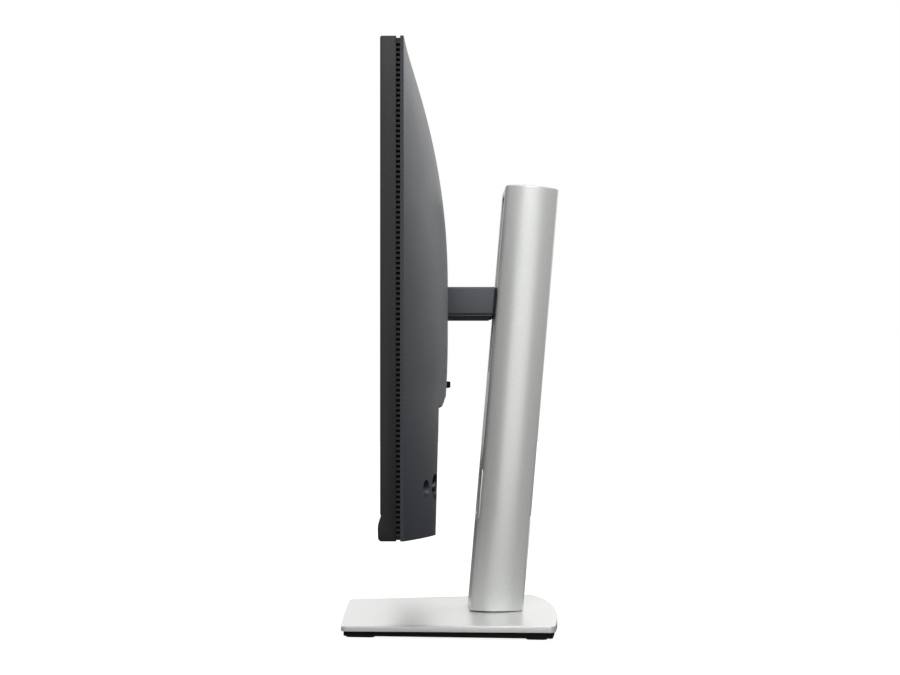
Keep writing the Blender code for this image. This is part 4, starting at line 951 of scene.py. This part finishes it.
# %% Column shell
LENGTH, TOP_ROUND, COLUMN_LOW, TUBE_WALL = 338.4, 1.6, 13.4, 2.5
OPENING_HALF, OPENING_CORNER = 25.3, 8
OPENINGS = {"front": (66.9, 113.6, -1), "rear": (27.4, 79.6, 1)}  # up from, up to, which face
SLOT_MIDDLE, SLOT_HALF_WIDE, SLOT_HALF_LONG = 260.5, 13.5, 71.5  # where the arm slides
bm = bmesh.new()
rings = [level_ring(column_outline(0), COLUMN_LOW)]
for t in range(0, 91, 15):
    step = math.radians(t)
    inset = TOP_ROUND * (1 - math.cos(step))
    height = LENGTH - TOP_ROUND * (1 - math.sin(step))
    rings.append([(x, y, height) for x, y in column_outline(inset)])
add_loft(bm, rings)
column = solid("leaning_column", lean(bm))
bm = bmesh.new()
add_loft(bm, [level_ring(column_outline(TUBE_WALL), COLUMN_LOW - 5),
              [(x, y, LENGTH - TUBE_WALL) for x, y in column_outline(TUBE_WALL)]])
boolean(column, lean(bm))
bm = bmesh.new()
add_prism(bm, rounded_rectangle(0, SLOT_MIDDLE, SLOT_HALF_WIDE, SLOT_HALF_LONG, 3, 6), "Y",
          -30, -10)
boolean(column, lean(bm))
for low, high, face in OPENINGS.values():
    bm = bmesh.new()
    add_prism(bm, rounded_rectangle(0, (low + high) / 2, OPENING_HALF, (high - low) / 2,
                                    OPENING_CORNER, 8), "Y", 22.5 * face - 7.5, 22.5 * face + 7.5)
    boolean(column, lean(bm))
show(column, "column", "silver_finish", silver, "column_shell", angle=30)

# %% [markdown]
# Each cable opening has a silver liner clipped into it, so that leads don't rub on the cut edge
# of the tube. It is a thin closed loop the shape of the opening, with a small lip.

# %% Cable liners
LINER_IN, LINER_OUT = 18.75, 21.05  # distance from the column's axis
for side, (low, high, face) in OPENINGS.items():
    near, far = sorted((LINER_IN * face, LINER_OUT * face))
    bm = bmesh.new()
    rings = []
    for inset, depth in ((0.05, near), (0.05, far), (1.0, far), (1.25, (near + far) / 2),
                         (1.0, near)):
        line = rounded_rectangle(0, (low + high) / 2, OPENING_HALF - inset,
                                 (high - low) / 2 - inset, OPENING_CORNER - inset, 10)
        rings.append([(x, depth, z) for x, z in line])
    add_band(bm, rings)
    show(solid(f"cable_liner_{side}", lean(bm)), "column", "silver_finish", silver)

# %% [markdown]
# ## The base
# The base is a thin pressed plate over a black tray. Its top rises slightly to the rear and is
# crowned from side to side, which catches one long soft highlight. The front and sides are
# straight, and the rear edge is one wide arc.

# %% Base outline and plate
BASE_FRONT, BASE_REAR, REAR_RADIUS = -85.75, 84.0, 590.0
FRONT_HALF, REAR_HALF, CORNER = 86.0, 102.0, 4.5


def rounded_corner(before, corner, after, radius, steps=10):
    here, one, two = Vector(corner), Vector(before), Vector(after)
    first, second = (one - here).normalized(), (two - here).normalized()
    half = math.acos(max(-1, min(1, first.dot(second)))) / 2
    centre = here + (first + second).normalized() * (radius / math.sin(half))
    start = here + first * (radius / math.tan(half)) - centre
    end = here + second * (radius / math.tan(half)) - centre
    mixes = [start.slerp(end, i / steps) for i in range(steps + 1)]
    return [tuple(centre + mix.normalized() * radius) for mix in mixes]


def base_outline(inset, rear_steps=32):
    """Points every 10 mm along the front, small arcs at the corners, and one wide rear arc."""
    front_half, rear_half, front = FRONT_HALF - inset, REAR_HALF - inset, BASE_FRONT + inset
    corners = [(-front_half, front)] + [(x, front) for x in range(-80, 81, 10)]
    corners.append((front_half, front))
    sharp = {0, len(corners) - 1, len(corners)}
    for i in range(rear_steps + 1):
        share = math.cos(math.pi * i / rear_steps)
        if i in (0, rear_steps) or abs(share) < 0.93:
            x = rear_half * share
            drop = REAR_RADIUS - math.sqrt(REAR_RADIUS**2 - x * x)
            corners.append((x, BASE_REAR - inset - drop))
    sharp.add(len(corners) - 1)
    points = []
    for i, corner in enumerate(corners):
        if i in sharp:
            after = corners[(i + 1) % len(corners)]
            points += rounded_corner(corners[i - 1], corner, after, max(1.0, CORNER - inset))
        else:
            points.append(corner)
    return points


TOP_FRONT, TOP_RISE, CROWN_RISE, CROWN_HALF = 8.5, 2.9, 2.0, 98.0
EDGE_FRONT, EDGE_RISE = 5.0, 1.2


def base_top(x, y):
    """Height of the plate's top, which rises to the rear and is crowned across."""
    share = (y - BASE_FRONT) / (BASE_REAR - BASE_FRONT)
    return TOP_FRONT + TOP_RISE * share + CROWN_RISE * max(0.0, 1 - (x / CROWN_HALF) ** 2)


def base_edge(y):
    """Height of the plate's lower edge."""
    return EDGE_FRONT + EDGE_RISE * (y - BASE_FRONT) / (BASE_REAR - BASE_FRONT)


print("base outline points:", len(base_outline(0)))

# %% Base cover
bm = bmesh.new()
EDGE = 0.9
rings = [[(x, y, base_edge(y)) for x, y in base_outline(0)]]
for t in (0, 22.5, 45, 67.5, 90):
    step = math.radians(t)
    inset = EDGE * (1 - math.cos(step))
    rings.append([(x, y, base_top(x, y) - EDGE * (1 - math.sin(step)))
                  for x, y in base_outline(inset)])
add_loft(bm, rings)
for i in range(-9, 10):
    bmesh.ops.bisect_plane(bm, geom=bm.verts[:] + bm.edges[:] + bm.faces[:], dist=0.0001,
                           plane_co=(i * 10.0, 0, 0), plane_no=(1, 0, 0))
plate = solid("silver_base", bm)
bm = bmesh.new()
add_prism(bm, base_outline(2.6), "Z", 1.0, 7.0)
boolean(plate, bm)
bm = bmesh.new()
rod(bm, "Z", (0, FOOT.y, 0), 17.5, 5, 20, 64)
boolean(plate, bm)
show(plate, "base", "silver_finish", silver, "base_cover", angle=28)

# %% [markdown]
# Four rubber feet keep the base from sliding. Each one follows the slanting side of the base, so
# it stands as far out as it can, and its lower edge has a small radius where the mould opens.

# %% Rubber feet
FOOT_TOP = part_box("foot_front_left")[1][2] / MM
FEET = {"front": (-82.0, -60.0), "rear": (54.0, 70.0)}  # Y from, Y to
FOOT_INNER, FOOT_INSET, SIDE_LENGTH = 44.0, 5.0, 160.0


def foot_outer(y):
    """X of a foot's outer side, which slants with the side of the base."""
    return FRONT_HALF - FOOT_INSET + (REAR_HALF - FRONT_HALF) * (y - BASE_FRONT) / SIDE_LENGTH


for row, (near, far) in FEET.items():
    for label, side in (("left", -1), ("right", 1)):
        bm = bmesh.new()
        rings = []
        for height, shrink in ((0.0, 0.5), (0.15, 0.15), (0.5, 0.0), (FOOT_TOP, 0.0)):
            inner = FOOT_INNER + shrink
            corners = [(inner, near + shrink), (foot_outer(near) - shrink, near + shrink),
                       (foot_outer(far) - shrink, far - shrink), (inner, far - shrink)]
            line = []
            for i, corner in enumerate(corners):
                line += rounded_corner(corners[i - 1], corner, corners[(i + 1) % 4], 3.0, 6)
            rings.append([(side * x, y, height) for x, y in (line if side > 0 else line[::-1])])
        add_loft(bm, rings)
        show(solid(f"rubber_foot_{row}_{label}", bm), "base", "foot_rubber", rubber,
             f"foot_{row}_{label}")

# %% [markdown]
# ## Screws
# A pan-head screw is a low dome with a cross-shaped recess. One is modelled, round its own
# origin, and the tree sets copies of it: four on the steel plate in the recess, four inserts
# for another stand's screws, and six under the base.

# %% One screw, and where it goes
def screw_shape(radius, axis, height=1.1):
    """A pan head with a cross recess, its crown towards + on the axis."""
    bm = bmesh.new()
    profile = [(0, -0.6), (radius, -0.6), (radius, 0.35 * height), (0.82 * radius, 0.8 * height),
               (0.45 * radius, height), (0, height)]
    add_turned(bm, profile, axis, (0, 0, 0), 20)
    head = solid("screw_blank", bm)
    bm = bmesh.new()
    long, thin = 0.62 * radius, 0.16 * radius
    cross = [(long, thin), (thin, thin), (thin, long), (-thin, long), (-thin, thin),
             (-long, thin), (-long, -thin), (-thin, -thin), (-thin, -long), (thin, -long),
             (thin, -thin), (long, -thin)]
    add_prism(bm, cross, axis, 0.35 * height, 2 * height)
    boolean(head, bm)
    bm = bmesh.new()
    bm.from_mesh(head.data)
    bmesh.ops.scale(bm, verts=bm.verts, vec=(1 / MM, 1 / MM, 1 / MM))
    bpy.data.objects.remove(head)
    return bm


plate_screws = run_copies("plate_screws", screw_shape(2.6, "Y"), plated_steel,
                          (-39, -17.3, ARM_Z - 39), (78, 0, 0), 2, (0, 0, 78), 2)
show(plate_screws, "head", "plated_steel", plated_steel)
bm = bmesh.new()
add_turned(bm, [(2.3, -1.1), (2.3, 0.9), (1.5, 0.9), (1.5, -1.1)], "Y", (0, 0, 0), 24)
inserts = run_copies("threaded_inserts", bm, bronze, (-50, -21.1, ARM_Z - 50), (100, 0, 0), 2,
                     (0, 0, 100), 2)
show(inserts, "head", "friction_metal", bronze)
bm = screw_shape(2.9, "Z")
bmesh.ops.rotate(bm, verts=bm.verts, matrix=Matrix.Rotation(math.pi, 3, "X"))
base_screws = run_copies("base_screws", bm, plated_steel, (-62, -45, 1.75), (62, 0, 0), 3,
                         (0, 45, 0), 2)
show(base_screws, "base", "plated_steel", plated_steel)

# %% [markdown]
# ## Sockets
# The sockets open downwards under the ledge, so leads hang straight. A socket is a plated steel
# mouth round a black tongue, with a row of gold contacts along it: another even repeat.
# The power inlet has three flat pins instead.

# %% Contacts and pins
def contact(width, depth, length):
    bm = bmesh.new()
    add_box(bm, (-width / 2, -depth / 2, -length), (width / 2, depth / 2, 0))
    return bm


MOUTH = 172.6
rows_of_contacts = (
    ("video_1_contacts", -8.0, -23.7, 0.5, 0.4, 1.0, 9),
    ("video_2_contacts", 14.0, -23.6, 0.6, 0.4, 1.1, 10),
    ("data_up_contacts", 76.0, -23.6, 1.6, 0.7, 1.4, 4),
    ("data_left_contacts", 94.8, -23.6, 0.9, 1.0, 2.0, 4),
    ("data_right_contacts", 109.2, -23.6, 0.9, 1.0, 2.0, 4),
)
for name, x, y, offset, width, pitch, count in rows_of_contacts:
    start = (x - pitch * (count - 1) / 2, y + offset + 0.12, MOUTH + 7.2)
    strip = run_copies(name, contact(width, 0.2, 5.6), gold_contact, start, (pitch, 0, 0), count)
    show(strip, "head", "connector_shell", gold_contact)
bm = bmesh.new()
add_turned(bm, [(0, 0.2), (0.42, 0.2), (0.42, 1.2), (0, 1.2)], "Z", (0, 0, 0), 10)
holes = run_copies("analog_pin_holes", bm, gold_contact, (42.2, -25.1, MOUTH - 0.5), (2.9, 0, 0), 5,
                   (0, 1.6, 0), 3)
show(holes, "head", "connector_shell", gold_contact)
bm = bmesh.new()
add_prism(bm, rounded_rectangle(0, 0, 1.0, 2.0, 0.4, 4), "Z", -6.8, 0)
pins = run_copies("inlet_side_pins", bm, plated_steel, (-102, -21.5, MOUTH + 7.9), (14, 0, 0), 2)
bm = bmesh.new()
add_prism(bm, rounded_rectangle(-95, -25.5, 1.0, 2.0, 0.4, 4), "Z", MOUTH + 0.8, MOUTH + 7.9)
show(join_all("inlet_pins", [pins, solid("earth_pin", bm)]), "head", "plated_steel",
     plated_steel)

# %% [markdown]
# ## Finishes on the rest
# Every other CAD piece already has its true shape, so it keeps it and only takes the finish of
# what it is made of. A table of finishes and nodes is shorter and easier to check than sixty lines.

# %% Finish each remaining node
FINISHES = {
    screen: ["lcd_panel"],
    film: ["diffuser_sheets"],
    acrylic: ["light_guide", "power_light_pipe"],
    leds: ["led_bar"],
    board: ["driver_board", "main_board", "power_board", "button_board"],
    zinc_sheet: ["panel_back_pan", "chassis_plate", "mount_bracket", "quick_release_plate",
                 "inner_channel"],
    rolled_steel: ["retaining_plate", "release_latch", "tilt_bracket", "digital_video_port_1",
                   "digital_video_port_2", "analog_video_port", "upstream_data_port",
                   "data_port_pair"],
    cast_alloy: ["arm_core", "carriage", "column_foot", "swivel_hub", "pivot_disc"],
    plated_steel: ["tilt_shaft", "tilt_nut", "thumbscrew", "thumbscrew_ring",
                   "joystick_gimbal", "joystick_stem"],
    spring_steel: ["latch_spring", "spring_strip", "spring_drum"],
    bronze: ["friction_washer_left", "friction_washer_right"],
    acetal: ["slide_pad_left", "slide_pad_right", "bearing_washer"],
    black_abs: ["base_underside", "power_inlet"],
    cast_iron: ["base_weight"],
}
for finish, nodes in FINISHES.items():
    for node in nodes:
        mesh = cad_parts[node].data
        mesh.materials.clear()
        mesh.materials.append(finish)
bare = [name for name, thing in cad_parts.items()
        if not thing.hide_render and name not in sum(FINISHES.values(), [])]
print("nodes still without a finish:", bare)

# %% [markdown]
# ## Studio
# The monitor stands in a white studio. To the camera the floor and the surround are evenly white,
# as if each had its own lamps. The object gets less light from them: little low down and more from
# overhead, so its dark parts stay dark towards the foot. A key light stands high on the camera's
# side, a wide panel behind the camera draws the long highlight down the column, and two weak
# lights fill in the far side.

# %% Floor
FLOOR_HALF, FLOOR_LOW, FLOOR_TOP = 12000, -20.0, -0.05
bm = bmesh.new()
add_box(bm, (-FLOOR_HALF, -FLOOR_HALF, FLOOR_LOW), (FLOOR_HALF, FLOOR_HALF, FLOOR_TOP))
floor = solid("floor", bm)
paper = new_finish("matte_floor_paper", "8c8c8b", 0.9)
tree = paper.node_tree
shader = tree.nodes["Principled BSDF"]
glow = add_node(tree, "ShaderNodeEmission", inputs={"Color": (1, 1, 1, 1), "Strength": 0.9})
seen = add_node(tree, "ShaderNodeLightPath")
dim = add_node(tree, "ShaderNodeBsdfDiffuse", inputs={"Color": linear("3a3a3a")})
lit = add_node(tree, "ShaderNodeMixShader", inputs={
    0: seen.outputs["Is Camera Ray"], 1: dim.outputs[0]})
both = add_node(tree, "ShaderNodeAddShader", inputs={0: shader.outputs[0], 1: glow.outputs[0]})
tree.links.new(both.outputs[0], lit.inputs[2])
tree.links.new(lit.outputs[0], tree.nodes["Material Output"].inputs["Surface"])
floor.data.materials.append(paper)
print("floor:", paper.name)

# %% Surround
world = bpy.data.worlds.new("surround")
bpy.context.scene.world = world
world.use_nodes = True
tree = world.node_tree
for node in list(tree.nodes):
    tree.nodes.remove(node)
BEHIND, SIDES, FRONT_LOW, OVERHEAD = 1.0, 0.14, 0.05, 0.6
place = add_node(tree, "ShaderNodeTexCoord").outputs["Generated"]
axes = add_node(tree, "ShaderNodeSeparateXYZ", inputs={0: place})
rear = add_node(tree, "ShaderNodeMapRange", inputs={
    0: axes.outputs["X"], 1: -0.95, 2: 0.0, 3: BEHIND - SIDES, 4: 0.0})
near = add_node(tree, "ShaderNodeMapRange", inputs={
    0: axes.outputs["X"], 1: 0.0, 2: 0.6, 3: SIDES, 4: FRONT_LOW})
high = add_node(tree, "ShaderNodeMapRange", inputs={
    0: axes.outputs["Z"], 1: 0.05, 2: 0.7, 3: 0.0, 4: OVERHEAD})
level = add_node(tree, "ShaderNodeMath", {"operation": "ADD"}, {
    0: rear.outputs[0], 1: near.outputs[0]})
total = add_node(tree, "ShaderNodeMath", {"operation": "ADD"}, {
    0: level.outputs[0], 1: high.outputs[0]})
seen = add_node(tree, "ShaderNodeLightPath")
strength = add_node(tree, "ShaderNodeMix", {"data_type": "FLOAT"}, {
    0: seen.outputs["Is Camera Ray"], 2: total.outputs[0], 3: 1.0})
glow = add_node(tree, "ShaderNodeBackground", inputs={
    "Color": (1, 1, 1, 1), "Strength": strength.outputs[0]})
add_node(tree, "ShaderNodeOutputWorld", inputs={"Surface": glow.outputs[0]})
print("surround:", BEHIND, "behind,", SIDES, "at the sides")

# %% Lights
def soft_light(name, place, target, size, power):
    light = bpy.data.lights.new(name, "AREA")
    light.shape = "RECTANGLE"
    light.size, light.size_y = size
    light.energy = power
    lamp = bpy.data.objects.new(name, light)
    bpy.context.scene.collection.objects.link(lamp)
    lamp.location = place
    lamp.rotation_euler = (Vector(target) - Vector(place)).to_track_quat("-Z", "Y").to_euler()


LIGHTS = {  # name: (place, what it points at, width and height, watts), in metres
    "key_panel": ((1.6, 0.1, 1.6), (0.1, 0.0, 0.25), (1.2, 1.2), 20),
    "rear_fill": ((-1.5, 1.8, 1.1), (0.0, 0.0, 0.25), (1.4, 1.2), 3),
    "front_fill": ((-1.5, -1.8, 1.1), (0.0, 0.0, 0.25), (1.4, 1.2), 6),
    "camera_side_panel": ((2.6, 0.15, 0.35), (0.0, 0.05, 0.3), (2.6, 1.3), 18),
}
for name, (place, target, size, power) in LIGHTS.items():
    soft_light(name, place, target, size, power)
print("lights:", len(LIGHTS))

# %% [markdown]
# ## Camera
# The camera stands level at the monitor's side, 1.2 m away and 162 mm above the table, so the side
# is seen squarely and the base from just above. The lens shift frames it without tilting the
# camera, which keeps upright lines upright.

# %% Camera
EYE, LENS, SHIFT = (1.2, -0.034, 0.162), 58.88, (0.0456, 0.0961)  # metres, mm, shares of the width
view = bpy.data.cameras.new("side_view")
view.sensor_width = 36.0
view.lens = LENS
view.shift_x, view.shift_y = SHIFT
camera = bpy.data.objects.new("camera", view)
camera.location = EYE
camera.rotation_euler = (math.radians(90), 0, math.radians(90))
bpy.context.scene.collection.objects.link(camera)
bpy.context.scene.camera = camera
bpy.context.scene.view_settings.view_transform = "Standard"
print("camera at", EYE, "with a lens of", LENS, "mm")
